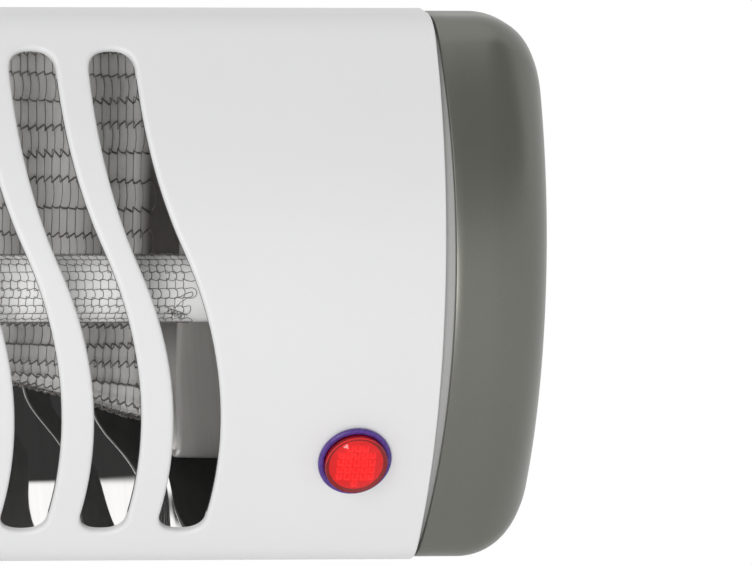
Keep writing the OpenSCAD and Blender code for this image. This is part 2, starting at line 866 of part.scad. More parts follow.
// Body of the pilot lamp behind the housing wall
module pilot_body() {
    color("dimgray")
    on_lamp()
        difference() {
            union() {
                translate([0, 0, -lamp_body_l + 3]) cylinder(r = lamp_body_r, h = lamp_body_l - 2.65);
                for (x = [-1, 1]) translate([x * 2.5 - 0.4, -1.6, -lamp_body_l]) cube([0.8, 3.2, 4]);
            }
            translate([0, 0, -3.2]) cylinder(r = lamp_body_r - 1, h = 5);
        }
}

// Ring nut that draws the lamp's body up against the housing
module pilot_nut() {
    color("dimgray")
    on_lamp()
        difference() {
            translate([0, 0, -wall_t - 3.6]) cylinder(r = 8.4, h = 3, $fn = 12);
            translate([0, 0, -8]) cylinder(r = lamp_body_r + fit, h = 10);
        }
}

// Button-shaped thermal cutout on the trough's back, with two spades
module thermal_cutout() {
    base = mirror_depth + sheet_t + 0.05;
    color("tan")
    translate([cutout_x, 0, mirror_z])
        difference() {
            union() {
                rod_y(base, base + 5, 7.8);
                rod_y(base + 4.9, base + 9, 5.8);
                block(-14, 14, base, base + 0.8, -3, 3);
                block(-12, 12, base + 7.2, base + 8, -3, 3);
            }
            for (x = [-1, 1]) translate([x * cutout_rivet_x, 0, 0]) rod_y(base - 1, base + 2, rivet_hole_r);
        }
}

// Three-pole terminal block on the rear cover
module terminal_block() {
    back = housing_d - wall_t;
    color("beige")
    difference() {
        block(block_x, block_x + block_w, back - 14, back, -11, 11);
        for (i = [0:2], z = [-1, 1]) {
            translate([pole_x(i), 0, z * 5]) rod_y(back - 15, back - 8, 2.3);
            translate([pole_x(i), y_at(pole_d), z < 0 ? -12 : 6]) cylinder(r = 1.7, h = 6);
        }
        for (i = [0, 1]) block(pole_x(i) + 4.1, pole_x(i) + 5.4, back - 15, back - 10, -12, 12);
    }
}

function pole_x(i) = block_x + 5.5 + i * 9.5;

// Clamp screws of the terminal block
module terminal_screws() {
    back = housing_d - wall_t;
    color("goldenrod")
    for (i = [0:2], z = [-1, 1])
        translate([pole_x(i), 0, z * 5])
            difference() {
                rod_y(back - 13, back - 8.05, 2.1);
                translate([-2.2, y_at(back - 14), -0.3]) cube([4.4, 1.8, 0.6]);
            }
}

// Places things at the mains inlet, with Z square out of the lower taper
module on_gland() {
    fall = (gland_depth - taper_start) * taper_drop / (housing_d - taper_start);
    translate([gland_x, y_at(gland_depth), fall - half_h]) rotate([90 + taper_a, 0, 0]) children();
}

// Gland of the mains inlet: threaded neck, hexagon and dome with the bore for a cable
module cable_gland() {
    color("whitesmoke")
    on_gland()
        difference() {
            union() {
                translate([0, 0, -8]) cylinder(r = gland_r, h = 9);
                cylinder(r = 9, h = 4, $fn = 6);
                translate([0, 0, 3.9]) cylinder(r1 = 7.6, r2 = 5.6, h = 6);
            }
            translate([0, 0, -9]) cylinder(r = gland_bore, h = 20);
        }
}

// Nut of the gland inside the cover
module gland_nut() {
    color("whitesmoke")
    on_gland()
        difference() {
            translate([0, 0, -wall_t - 4]) cylinder(r = 8.6, h = 3.95, $fn = 6);
            translate([0, 0, -9]) cylinder(r = gland_r + fit, h = 12);
        }
}

// Pull switch: a block with a round chamber for the spring and two spades on top
module switch_body() {
    back = housing_d - wall_t;
    top = switch_floor + switch_h;
    color("ivory")
    difference() {
        union() {
            block(-pull_x - switch_w / 2, -pull_x + switch_w / 2, back - switch_d, back, switch_floor, top);
            for (x = [-7 - pull_x, 7 - pull_x])
                block(x - 3.15, x + 3.15, pull_depth - 0.4, pull_depth + 0.4, top - 1, top + 6);
        }
        translate([-pull_x, y_at(pull_depth), switch_floor - 1]) cylinder(r = rod_r + 0.08, h = 8);
        translate([-pull_x, y_at(pull_depth), switch_floor + 3]) cylinder(r = chamber_r, h = switch_h - 6);
    }
}

// Rod of the pull switch: a collar on the spring above, an eye for the cord below
module pull_rod() {
    color("whitesmoke")
    translate([-pull_x, 0, 0])
        difference() {
            union() {
                translate([0, y_at(pull_depth), eye_z]) cylinder(r = rod_r, h = collar_z + 4 - eye_z);
                translate([0, y_at(pull_depth), collar_z]) cylinder(r = collar_r, h = 3);
                translate([0, 0, eye_z]) rod_y(pull_depth - 2, pull_depth + 2, 3.2);
            }
            translate([0, 0, eye_z]) rod_y(pull_depth - 4, pull_depth + 4, eye_r);
        }
}

// Spring that lifts the rod back
module pull_spring() {
    turns = 7;
    low = switch_floor + 3.1;
    color("silver")
    translate([-pull_x, y_at(pull_depth), low])
        linear_extrude(collar_z - 0.1 - low, twist = -360 * turns, slices = 12 * turns, $fn = 6)
            translate([3.4, 0]) circle(r = 0.45);
}

// Bush in the rear cover that guides the rod
module cord_bush() {
    color("whitesmoke")
    translate([-pull_x, y_at(pull_depth), 0])
        difference() {
            union() {
                translate([0, 0, bush_z]) cylinder(r = bush_r, h = 10);
                translate([0, 0, bush_z - 1.8]) cylinder(r1 = bush_r + 0.8, r2 = bush_boss_r - 0.6, h = 1.8);
            }
            translate([0, 0, bush_z - 3]) cylinder(r = rod_r + 0.08, h = 16);
        }
}

// Where the insulated leads begin and end
block_top = 11.1;
spade_d = mirror_depth + sheet_t + 7.65;
spade_x = 12.6;
switch_top = switch_floor + switch_h + 6.3;
tab_x = end_x - 5.1;
tab_back = tube_depth + 0.5;
tail_d = front_r - sqrt(front_r * front_r - lamp_drop * lamp_drop) + lamp_body_l * cos(lamp_tilt) + 0.2;
tail_z = lamp_body_l * sin(lamp_tilt) - lamp_drop + 0.1;
lead_r = 1.2;

// Routes of the leads as [x, depth, z]
LEADS = [
    [[pole_x(0), pole_d, block_top], [pole_x(0), pole_d, 15], [124, 53, 19], [96, 52, 19], [84, 52, 18],
        [65, 51, 14], [cutout_x + spade_x + 4, spade_d, mirror_z + 3],
        [cutout_x + spade_x, spade_d, mirror_z]],
    [[cutout_x - spade_x, spade_d, mirror_z], [cutout_x - spade_x - 5, spade_d, mirror_z + 2], [18, 51, 9],
        [0, 52, 18], [-60, 52, 20], [-100, 52, 21], [-128, 53, 28], [13 - pull_x, pull_depth, 35],
        [7 - pull_x, pull_depth, 36], [7 - pull_x, pull_depth, switch_top]],
    [[-7 - pull_x, pull_depth, switch_top], [-7 - pull_x, pull_depth, 35], [-165, 52, 33], [-178, 48, 20],
        [-190, 40, 8], [-tab_x, 32, tube_z + 1], [-tab_x, tab_back, tube_z]],
    [[tab_x, tab_back, tube_z], [tab_x, 32, tube_z + 1], [190, 42, 6], [178, 49, 12], [160, 53, 18],
        [146, 54, 19], [pole_x(1), pole_d, 16], [pole_x(1), pole_d, block_top]],
    [[lamp_x + 2.5, tail_d, tail_z], [lamp_x + 2.5, tail_d + 7, tail_z + 2.8], [186, 43, -17], [176, 51, -15],
        [160, 54, -17], [pole_x(2), pole_d, -15], [pole_x(2), pole_d, -block_top]],
    [[lamp_x - 2.5, tail_d, tail_z], [lamp_x - 2.5, tail_d + 7, tail_z + 2.8], [181, 44, -19], [172, 50, -20],
        [152, 54, -21], [pole_x(1), pole_d, -16], [pole_x(1), pole_d, -block_top]]
];

// Point between b and c on a smooth curve through a, b, c and d
function curve(a, b, c, d, t) =
    b + (c - a) * t / 2 + (2 * a - 5 * b + 4 * c - d) * t * t / 2 + (3 * b - a - 3 * c + d) * t * t * t / 2;

// The route's points with smooth curves between them
function smooth(p, steps) =
    let (n = len(p))
    concat(
        [for (i = [0:n - 2], j = [0:steps - 1])
            curve(p[max(i - 1, 0)], p[i], p[i + 1], p[min(i + 2, n - 1)], j / steps)],
        [p[n - 1]]
    );

function unit(v) = v / norm(v);

// Round tube along a route
module lead(route, r, sides) {
    p = [for (q = smooth(route, 2)) [q[0], y_at(q[1]), q[2]]];
    n = len(p);
    along = [for (i = [0:n - 1]) unit(p[min(i + 1, n - 1)] - p[max(i - 1, 0)])];
    rings = [for (i = [0:n - 1])
        let (u = unit(cross(along[i], [1, 1, 1])), v = cross(along[i], u))
            for (j = [0:sides - 1]) p[i] + r * (cos(j * 360 / sides) * u + sin(j * 360 / sides) * v)];
    skin = [for (i = [0:n - 2], j = [0:sides - 1], half = [0, 1])
        let (a = i * sides + j, b = i * sides + (j + 1) % sides)
            half == 0 ? [a, a + sides, b + sides] : [a, b + sides, b]];
    first = [for (j = [0:sides - 1]) j];
    last = [for (j = [sides - 1:-1:0]) (n - 1) * sides + j];
    polyhedron(rings, concat([first], skin, [last]));
}

// Leads from the terminal block to cutout, switch, element and pilot lamp
module internal_leads() {
    color("firebrick") for (route = LEADS) lead(route, lead_r, 8);
}

wall_bracket();
pivot_washer(-1);  // pivot_washer_left
pivot_washer(1);  // pivot_washer_right
tilt_ear(-1);  // tilt_ear_left
tilt_ear(1);  // tilt_ear_right
ear_screws();
ear_nuts();
pivot_nuts();
lock_stud(-1);  // lock_stud_left
lock_stud(1);  // lock_stud_right
lock_knob(-1);  // lock_knob_left
lock_knob(1);  // lock_knob_right
front_housing();
rear_cover();
end_frame(-1);  // end_frame_left
end_frame(1);  // end_frame_right
end_cap(-1);  // end_cap_left
end_cap(1);  // end_cap_right
cap_screws();
cover_screws();
reflector();
reflector_end(-1);  // reflector_end_left
reflector_end(1);  // reflector_end_right
reflector_stay(-1);  // reflector_stay_left
reflector_stay(1);  // reflector_stay_right
reflector_rivets();
quartz_tube();
heating_coil();
mesh_sleeve();
ceramic_holder(-1);  // ceramic_holder_left
ceramic_holder(1);  // ceramic_holder_right
holder_clip(-1);  // holder_clip_left
holder_clip(1);  // holder_clip_right
element_terminal(-1);  // element_terminal_left
element_terminal(1);  // element_terminal_right
pilot_bezel();
pilot_lens();
pilot_body();
pilot_nut();
thermal_cutout();
terminal_block();
terminal_screws();
cable_gland();
gland_nut();
switch_body();
pull_rod();
pull_spring();
cord_bush();
internal_leads();
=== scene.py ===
import random
from math import asin, atan2, cos, exp, log, pi, radians, sin, sqrt, tanh

import bmesh
import bpy
from mathutils import Matrix, Vector


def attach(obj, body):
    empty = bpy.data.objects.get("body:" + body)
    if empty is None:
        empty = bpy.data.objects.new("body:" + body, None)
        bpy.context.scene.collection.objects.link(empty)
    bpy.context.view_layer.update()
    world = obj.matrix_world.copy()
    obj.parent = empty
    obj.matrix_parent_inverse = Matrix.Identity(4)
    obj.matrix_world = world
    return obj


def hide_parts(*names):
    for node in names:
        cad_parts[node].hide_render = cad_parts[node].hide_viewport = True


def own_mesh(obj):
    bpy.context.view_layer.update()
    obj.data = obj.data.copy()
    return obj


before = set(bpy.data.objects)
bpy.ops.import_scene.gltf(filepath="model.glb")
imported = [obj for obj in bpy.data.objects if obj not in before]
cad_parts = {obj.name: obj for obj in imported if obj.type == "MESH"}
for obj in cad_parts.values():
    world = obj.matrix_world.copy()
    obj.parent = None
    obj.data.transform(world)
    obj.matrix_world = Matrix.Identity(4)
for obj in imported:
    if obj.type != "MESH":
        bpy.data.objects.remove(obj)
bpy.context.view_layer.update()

# Camera.
# A long lens 3.5 m in front of the lamp's right-hand end, a little to the left of it and
# above it, and rolled by two degrees. Depth of field stays off.
MM = 0.001
housing_end = 201.65
front_y = -104.0
turn, lift, roll = radians(-13), radians(9), radians(2)
distance, aim_left, aim_up = 3500, 13.74, 4.61
image_width, pixels_per_mm, sensor_width = 752, 5.06, 36
toward = Vector((sin(turn) * cos(lift), -cos(turn) * cos(lift), sin(lift)))
level = Vector((cos(turn), sin(turn), 0))
upright = toward.cross(level)
right = cos(roll) * level + sin(roll) * upright
up = cos(roll) * upright - sin(roll) * level
stand = Vector((housing_end, front_y, 0)) - aim_left * right + aim_up * up + distance * toward
long_lens = bpy.data.cameras.new("long_lens")
long_lens.sensor_width = sensor_width
long_lens.lens = sensor_width * distance * pixels_per_mm / image_width
long_lens.clip_end = 30
camera = bpy.data.objects.new("camera", long_lens)
camera.matrix_world = Matrix.Translation(stand * MM) @ Matrix((right, up, toward)).transposed().to_4x4()
bpy.context.scene.collection.objects.link(camera)
bpy.context.scene.camera = camera
bpy.context.scene.view_settings.view_transform = "Standard"


# Wall bracket.
# Light grey powder-coated steel, punched and folded; it is screwed to the wall and carries
# everything else between its two ears.
class Thread:
    """One output of a shader node. Sums and products of it add Math nodes."""

    def __init__(self, socket):
        self.socket = socket

    def math(self, operation, first, second=0.0):
        return node(self.socket.id_data, "Math", {"operation": operation}, {0: first, 1: second})

    def __add__(self, other):
        return self.math("ADD", self, other)

    __radd__ = __add__

    def __sub__(self, other):
        return self.math("SUBTRACT", self, other)

    def __rsub__(self, other):
        return self.math("SUBTRACT", other, self)

    def __mul__(self, other):
        return self.math("MULTIPLY", self, other)

    __rmul__ = __mul__


def node(tree, kind, settings=None, values=None, out=0):
    """Adds a shader node: its settings first, then the values or links of its sockets."""
    made = tree.nodes.new("ShaderNode" + kind)
    for key, value in (settings or {}).items():
        setattr(made, key, value)
    for key, value in (values or {}).items():
        if isinstance(value, Thread):
            tree.links.new(value.socket, made.inputs[key])
        elif isinstance(value, tuple) and made.inputs[key].type == "RGBA":
            made.inputs[key].default_value = (*value, 1)
        else:
            made.inputs[key].default_value = value
    return Thread(made.outputs[out])


class Finish:
    """A material: fixed numbers on the shader's own sockets, patterns on object coordinates."""

    def __init__(self, name, **fixed):
        self.material = bpy.data.materials.new(name)
        self.material.use_nodes = True
        self.tree = self.material.node_tree
        self.shader = self.tree.nodes["Principled BSDF"]
        self.place = self.node("TexCoord", out="Object")
        self.set(**fixed)

    def node(self, kind, settings=None, values=None, out=0):
        return node(self.tree, kind, settings, values, out)

    def set(self, **sockets):
        """Sets the shader's sockets: a number or a colour, or the link of a pattern."""
        for key, value in sockets.items():
            socket = self.shader.inputs[key.replace("_", " ")]
            if isinstance(value, Thread):
                self.tree.links.new(value.socket, socket)
            else:
                socket.default_value = (*value, 1) if isinstance(value, tuple) else value

    def stretched(self, x, y, z):
        """Place for a pattern that is drawn out where the number is small."""
        return self.node("Mapping", None, {"Vector": self.place, "Scale": (x, y, z)})

    def noise(self, size, detail=2, roughness=0.5, place=None):
        """Cloudy pattern from 0 to 1 whose patches are about size millimetres wide."""
        return self.node("TexNoise", None, {
            "Vector": place or self.place, "Scale": 1 / (size * MM),
            "Detail": detail, "Roughness": roughness})

    def between(self, mask, low, high, start=0.0, end=1.0):
        """Number that goes from low to high as the mask goes from start to end."""
        return self.node("MapRange", {"clamp": True}, {
            "Value": mask, "From Min": start, "From Max": end, "To Min": low, "To Max": high})

    def blend(self, mask, first, second):
        """Colour that goes from the first to the second with the mask."""
        return self.node("Mix", {"data_type": "RGBA"}, {0: mask, 6: first, 7: second}, 2)

    def bump(self, height, depth, strength=1.0):
        """Relief of depth millimetres."""
        self.set(Normal=self.node("Bump", None, {
            "Height": height, "Distance": depth * MM, "Strength": strength}))


def coat(finish, *names):
    """Gives CAD nodes their finish."""
    for name in names:
        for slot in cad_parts[name].material_slots:
            slot.material = finish.material


powder_grey = Finish("light grey powder coat")
cloud = powder_grey.noise(14, 3)
powder_grey.set(
    Base_Color=powder_grey.blend(cloud, (0.62, 0.62, 0.61), (0.68, 0.68, 0.67)),
    Roughness=powder_grey.between(cloud, 0.42, 0.52))
powder_grey.bump(powder_grey.noise(0.9, 3), 0.05, 0.35)
coat(powder_grey, "wall_bracket", "tilt_ear_left", "tilt_ear_right")


# Tilt axis.
# Fibre washers between the ears, turned studs through both, zinc-plated nuts inside and a
# black moulded hand knob on each end. The ears, the caps and the cover have zinc-plated screws,
# and the mirror trough has zinc-plated rivets.
pressed_fibre = Finish("pressed fibre", Roughness=0.8)
fibres = pressed_fibre.noise(0.8, 4)
pressed_fibre.set(Base_Color=pressed_fibre.blend(fibres, (0.16, 0.07, 0.035), (0.3, 0.15, 0.08)))
pressed_fibre.bump(pressed_fibre.noise(0.4, 3), 0.05, 0.5)
coat(pressed_fibre, "pivot_washer_left", "pivot_washer_right")

zinc = Finish("zinc plating", Metallic=1.0)
spangle = zinc.noise(1.6, 3)
zinc.set(
    Base_Color=zinc.blend(spangle, (0.55, 0.55, 0.53), (0.72, 0.72, 0.7)),
    Roughness=zinc.between(spangle, 0.28, 0.42))
coat(zinc, "ear_screws", "ear_nuts", "pivot_nuts", "cap_screws", "cover_screws", "reflector_rivets")

turned_steel = Finish("turned steel", Metallic=1.0)
rings = turned_steel.noise(0.35, 1, 0.5, turned_steel.stretched(1, 0.05, 0.05))
turned_steel.set(
    Base_Color=turned_steel.blend(rings, (0.5, 0.5, 0.5), (0.66, 0.66, 0.66)),
    Roughness=turned_steel.between(rings, 0.25, 0.4))
coat(turned_steel, "lock_stud_left", "lock_stud_right")

black_moulding = Finish("black moulding")
speck = black_moulding.noise(0.5, 3)
black_moulding.set(
    Base_Color=black_moulding.blend(speck, (0.012, 0.012, 0.013), (0.03, 0.03, 0.032)),
    Roughness=black_moulding.between(speck, 0.4, 0.55))
black_moulding.bump(speck, 0.03, 0.4)
coat(black_moulding, "lock_knob_left", "lock_knob_right", "pilot_body", "pilot_nut")


# Mirror trough.
# Bright rolled aluminium sheet bent to a deep curve behind the tube, its long edges folded
# back; rivets hold its end plates and the two stays that carry it. The lower wing is bent out,
# less so towards the ends, and the end plates hold it in.
def extend(bm, chain, places):
    """Extrudes a closed chain of vertices to new places and gives the new chain."""
    edges = [bm.edges.get(pair) for pair in zip(chain, chain[1:] + chain[:1])]
    grown = bmesh.ops.extrude_edge_only(bm, edges=edges)["geom"]
    made = {v for v in grown if isinstance(v, bmesh.types.BMVert)}
    new = [next(e.other_vert(v) for e in v.link_edges if e.other_vert(v) in made) for v in chain]
    for vertex, place in zip(new, places):
        vertex.co = place
    return new


def lay(bm, places, closed=True):
    """Vertices at the places, joined by edges."""
    chain = [bm.verts.new(place) for place in places]
    for pair in zip(chain, chain[1:] + chain[:1] if closed else chain[1:]):
        bm.edges.new(pair)
    return chain


def piece(bm, name, finish, slot, *replaced, crease=35):
    """Makes the object: millimetres to metres, smooth but for its creases, riding on the head."""
    bmesh.ops.scale(bm, vec=(MM, MM, MM), verts=bm.verts)
    for face in bm.faces:
        face.smooth = True
    for edge in bm.edges:
        edge.smooth = not (edge.is_manifold and edge.calc_face_angle(0) > radians(crease))
    mesh = bpy.data.meshes.new(name)
    bm.to_mesh(mesh)
    bm.free()
    mesh.materials.append(finish.material)
    made = bpy.data.objects.new(name, mesh)
    bpy.context.scene.collection.objects.link(made)
    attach(made, "head")
    if replaced:
        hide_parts(*replaced)
    return made


mirror_depth, mirror_focus, mirror_conic, mirror_z = 42.3, 22.0, -0.54, 0.5
mirror_end, mirror_low, mirror_high, sheet = housing_end - 27, -48.2, 49.0, 0.8
lip, lip_out, lip_in, lip_round = 6, 0.5, 0.2, 0.3

# The lower wing has one bend outwards and one back. Slope and height of both change along the
# lamp round wing_x, and near its ends, from held_x on, the end plates hold the wing in.
wing_x, wing_change = housing_end - 81, 24
out_slope, out_gain, out_z, out_shift, out_soft = 0.413, 0.07, -29.03, -4.11, 3
back_slope, back_gain, back_z, back_shift, back_soft = 0.349, 0.032, -32.84, 3.16, 4
held_x, held_change = housing_end - 51.7, 0.4
held_slope, held_z, freed_slope, freed_z = 0.24, -25, 0.33, -37


def bend(z, start, soft):
    """Zero above the start, one per millimetre below it, with a soft change between them."""
    return soft * log(1 + exp((start - z) / soft))


def mirror_at(x, z):
    """Depth of the trough: a deep curve whose lower wing opens out; its end plates hold it in."""
    t = tanh((abs(x) - wing_x) / wing_change)
    held = 1 / (1 + exp((held_x - abs(x)) / held_change))
    wing = (out_slope + out_gain * t) * bend(z, out_z + out_shift * t, out_soft)
    wing -= (back_slope + back_gain * t) * bend(z, back_z + back_shift * t, back_soft)
    wing -= held * (held_slope * bend(z, held_z, out_soft) - freed_slope * bend(z, freed_z, out_soft))
    curve, z = 1 / (2 * mirror_focus), z - mirror_z
    return mirror_depth - curve * z * z / (1 + sqrt(1 - mirror_conic * curve * curve * z * z)) + wing


def mirror_ring(x):
    """Section of the trough at x: its bright side, both lips and its dull side."""
    steps, near = 180, 0.01
    heights = [mirror_low + i * (mirror_high - mirror_low) / steps for i in range(steps + 1)]
    bright = [(mirror_at(x, z), z) for z in heights]
    dull = []
    for d, z in bright[::-1]:
        slope = Vector((mirror_at(x, z + near) - mirror_at(x, z - near), 2 * near)).normalized()
        dull.append((d + sheet * slope[1], z - sheet * slope[0]))
    (low, _), (high, _) = bright[0], bright[-1]
    section = [(low + lip, mirror_low - lip_out), (low + lip_round, mirror_low - lip_out)] + bright
    section += [(high + lip_round, mirror_high + lip_out), (high + lip, mirror_high + lip_out)]
    section += [(high + lip, mirror_high - lip_in)] + dull + [(low + lip, mirror_low + lip_in)]
    return [(x, front_y + d, z) for d, z in section]


# Sections stand close together near the ends, where the wing changes fast.
stations = [mirror_end - i for i in range(36)] + [mirror_end - 35 - 2 * i for i in range(1, 30)]
stations += [mirror_end - 93 - 9 * i for i in range(1, 9)]
stations += [-x for x in stations[::-1]]
trough = bmesh.new()
start = chain = lay(trough, mirror_ring(stations[0]))
for x in stations[1:]:
    chain = extend(trough, chain, mirror_ring(x))
trough.faces.new(start)
trough.faces.new(chain)
bmesh.ops.triangulate(trough, faces=[f for f in trough.faces if len(f.verts) > 4])
bmesh.ops.recalc_face_normals(trough, faces=trough.faces)
mirror_bright = Finish("bright rolled aluminium", Metallic=1.0)
rolling = mirror_bright.noise(1.3, 3, 0.6, mirror_bright.stretched(1, 0.02, 0.02))
mirror_bright.set(
    Base_Color=mirror_bright.blend(rolling, (0.76, 0.75, 0.74), (0.93, 0.92, 0.91)),
    Roughness=mirror_bright.between(rolling, 0.01, 0.03))
piece(trough, "mirror_trough", mirror_bright, "reflector", "reflector")

mill_sheet = Finish("mill finish sheet", Metallic=1.0)
drawn = mill_sheet.noise(0.8, 3, 0.6, mill_sheet.stretched(1, 1, 0.05))
mill_sheet.set(
    Base_Color=mill_sheet.blend(drawn, (0.55, 0.55, 0.55), (0.7, 0.7, 0.7)),
    Roughness=mill_sheet.between(drawn, 0.25, 0.4))
coat(mill_sheet, "reflector_end_left", "reflector_end_right", "reflector_stay_left", "reflector_stay_right",
     "holder_clip_left", "holder_clip_right")


# Quartz tube and its coil.
# Milky fused quartz with ground ends; the dark resistance coil lies inside it. Its colour has
# painted light: a painted glow in bands at the slots' pitch, where light falls in through the
# slots, a painted glow on the front of its bare ends, and painted shade on their backs.
def turned(bm, profile, axis_to, steps=64):
    """Spins a profile of (radius, height) about Z, closes it and moves it to its place."""
    chain = lay(bm, [(r, 0, h) for r, h in profile], closed=False)
    bmesh.ops.spin(bm, geom=chain + bm.edges[:], cent=(0, 0, 0), axis=(0, 0, 1), dvec=(0, 0, 0),
                   angle=2 * pi, space=Matrix.Identity(4), steps=steps, use_merge=True,
                   use_normal_flip=False, use_duplicate=False)
    bmesh.ops.remove_doubles(bm, verts=bm.verts, dist=0.0005)
    bmesh.ops.recalc_face_normals(bm, faces=bm.faces)
    bmesh.ops.transform(bm, matrix=axis_to, verts=bm.verts)
    return bm


tube_y, tube_z, tube_r, tube_wall = front_y + 21.7, 0.0, 6.6, 1.1
tube_end, ground, bore_ground = housing_end - 31, 0.3, 0.2
bore = tube_r - tube_wall
along_tube = Matrix.Translation((0, tube_y, tube_z)) @ Matrix.Rotation(pi / 2, 4, "Y")
profile = [(bore, bore_ground - tube_end), (bore + bore_ground, -tube_end)]
profile += [(tube_r - ground, -tube_end), (tube_r, ground - tube_end)]
profile += [(tube_r, -tube_end + 2 * tube_end * i / 12) for i in range(1, 12)]
profile += [(tube_r, tube_end - ground), (tube_r - ground, tube_end)]
profile += [(bore + bore_ground, tube_end), (bore, tube_end - bore_ground), profile[0]]
tube = turned(bmesh.new(), profile, along_tube, 96)
# The tube is not switched on; its emission is a painted glow, set below.
milky_quartz = Finish("milky fused quartz", IOR=1.46, Coat_Weight=0.35, Coat_Roughness=0.05,
                      Emission_Strength=0.21)
slot_pitch, band_x, bare_x = 16.03, 136.4, housing_end - 51
cloudy = milky_quartz.noise(9, 3)
split = milky_quartz.node("SeparateXYZ", None, {0: milky_quartz.place}).socket.node
along, behind = Thread(split.outputs["X"]), Thread(split.outputs["Y"])
# Painted light: a painted glow in bands at the slots' pitch, each band standing in for the light that falls
# in through one slot, with streaks in it.
painted_slot_light = along.math("COSINE", (along - band_x * MM) * (2 * pi / (slot_pitch * MM))) * 0.5 + 0.5
painted_light_streaks = milky_quartz.noise(4, 1, 0.5, milky_quartz.stretched(1, 0.02, 0.02))
painted_light_streaks = milky_quartz.between(painted_light_streaks, 0.55, 1.0, 0.35, 0.6)
bare = milky_quartz.between(along.math("ABSOLUTE", along), 0.0, 1.0, bare_x * MM, (bare_x + 3) * MM)
# Painted shade on the backs of the bare ends.
painted_shade_back = milky_quartz.between(behind, 0.0, 1.0, (tube_y + 1) * MM, (tube_y + 5) * MM)
# Painted light on the fronts of the bare ends.
painted_lit_front = milky_quartz.between(behind, 1.0, 0.0, (tube_y - 4) * MM, (tube_y + 1) * MM)
milk = milky_quartz.blend(cloudy, (0.84, 0.84, 0.83), (0.9, 0.9, 0.89))
# Painted glow: the slot bands away from the bare ends, and the lit fronts of the bare ends.
painted_glow = painted_slot_light * painted_light_streaks * (1 - bare) + 0.8 * (bare * painted_lit_front)
milky_quartz.set(
    # Painted shade: the backs of the bare ends are dark.
    Base_Color=milky_quartz.blend(bare * painted_shade_back, milk, (0.2, 0.19, 0.18)),
    Emission_Color=milky_quartz.blend(painted_glow, (0.0, 0.0, 0.0), (1.0, 0.99, 0.98)),
    Roughness=milky_quartz.between(cloudy, 0.22, 0.34))
piece(tube, "milky_tube", milky_quartz, "quartz", "quartz_tube")

resistance_wire = Finish("oxidised resistance wire", Metallic=1.0, Roughness=0.5)
oxide = resistance_wire.noise(1, 2)
resistance_wire.set(Base_Color=resistance_wire.blend(oxide, (0.1, 0.09, 0.085), (0.2, 0.17, 0.15)))
coat(resistance_wire, "heating_coil")


# Knitted sleeve.
# One thin stainless wire knitted round the tube in courses; twelve needles gave each course
# twelve loops. The last courses end in loose loops and a curled stray end.
courses, needles = 184, 12
course_step, loop_reach, loop_square, loop_swing = 1.66, 0.93, 0.3, 0.95
wire_r, wire_off, wire_cross, sleeve_end = 0.072, 0.2, 0.1, housing_end - 49.6
head_bow, foot_bow, course_shift, course_turn = 0.62, 0.3, -0.2, 0.01
loop_phases = (-pi / 2, -1.15, -0.8, -0.4, 0.0, 0.4, 0.8, 1.15)
chance = random.Random(7)


def on_tube(x, around, stand_off):
    """Point of a wire that stands off the tube: x along it, around from its front upwards."""
    r = tube_r + stand_off
    return (x * MM, (tube_y - r * cos(around)) * MM, (tube_z + r * sin(around)) * MM, 1)


def wire_run(knit, points, closed=False):
    """Adds one run of wire through the points."""
    spline = knit.splines.new("POLY")
    spline.points.add(len(points) - 1)
    spline.use_cyclic_u = closed
    for point, place in zip(spline.points, points):
        point.co = place


def knitted_course(course):
    """One course: loop heads that bow along the lamp, joined by legs that slant at each row."""
    middle = -sleeve_end + course_step * (course + 0.5)
    loose = 0.9 if course in (0, courses - 1) else 0.0
    points = []
    for k in range(2 * needles):
        head = k % 2 == 0
        bow = (head_bow if head else foot_bow) + chance.uniform(-0.16, 0.2)
        slack = chance.uniform(-0.6, 1.0) * loose if head else 0.0
        slip = chance.uniform(-0.03, 0.03)
        for loop_phase in loop_phases:
            phase = k * pi + loop_phase
            wave = cos(phase)
            crest = wave * wave
            way = 1 if wave > 0 else -1
            x = middle + loop_reach * way * abs(wave) ** loop_square + (bow + slack) * crest + course_shift
            sway = slip * crest + 0.02 * sin(course * 0.21 + k * 1.3) + course_turn
            around = (phase + loop_swing * sin(2 * phase)) / needles + sway
            points.append(on_tube(x, around, wire_off + wire_cross * cos(2 * phase) * way))
    return points


dark_wire = Finish("dark stainless wire", Metallic=1.0, Roughness=0.36)
tint = dark_wire.noise(2.5, 2)
dark_wire.set(Base_Color=dark_wire.blend(tint, (0.13, 0.125, 0.12), (0.36, 0.345, 0.33)))
for name, first, last in (("left", 0, courses // 2), ("right", courses // 2, courses)):
    knit = bpy.data.curves.new("knitted_sleeve_" + name, "CURVE")
    knit.dimensions = "3D"
    knit.bevel_depth = wire_r * MM
    knit.bevel_resolution = 0
    for course in range(first, last):
        wire_run(knit, knitted_course(course), closed=True)
    if name == "right":
        loose_loop = [(-1.6, -0.1), (-0.8, -0.08), (0.6, 0.03), (1.5, 0.06), (1.75, 0.0),
                      (1.5, -0.07), (0.4, -0.13), (-0.6, -0.24), (-1.3, -0.36), (-1.7, -0.42)]
        wire_run(knit, [on_tube(sleeve_end + x, around, 0.28) for x, around in loose_loop])
        stray_x, stray_turn, curl, curl_turn = sleeve_end - 3.0, -0.52, 0.5, 0.11
        wire_run(knit, [on_tube(stray_x + 0.085 * i + curl * sin(i * 0.75),
                                stray_turn - 0.006 * i + curl_turn * cos(i * 0.75),
                                0.35 + 0.12 * sin(i * 0.9)) for i in range(44)])
    wound = bpy.data.objects.new("knit_path", knit)
    sleeve = bpy.data.objects.new("knitted_sleeve_" + name, bpy.data.meshes.new_from_object(wound))
    bpy.data.objects.remove(wound)
    bpy.context.scene.collection.objects.link(sleeve)
    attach(sleeve, "head")
    sleeve.data.materials.append(dark_wire.material)
    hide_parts("mesh_sleeve")


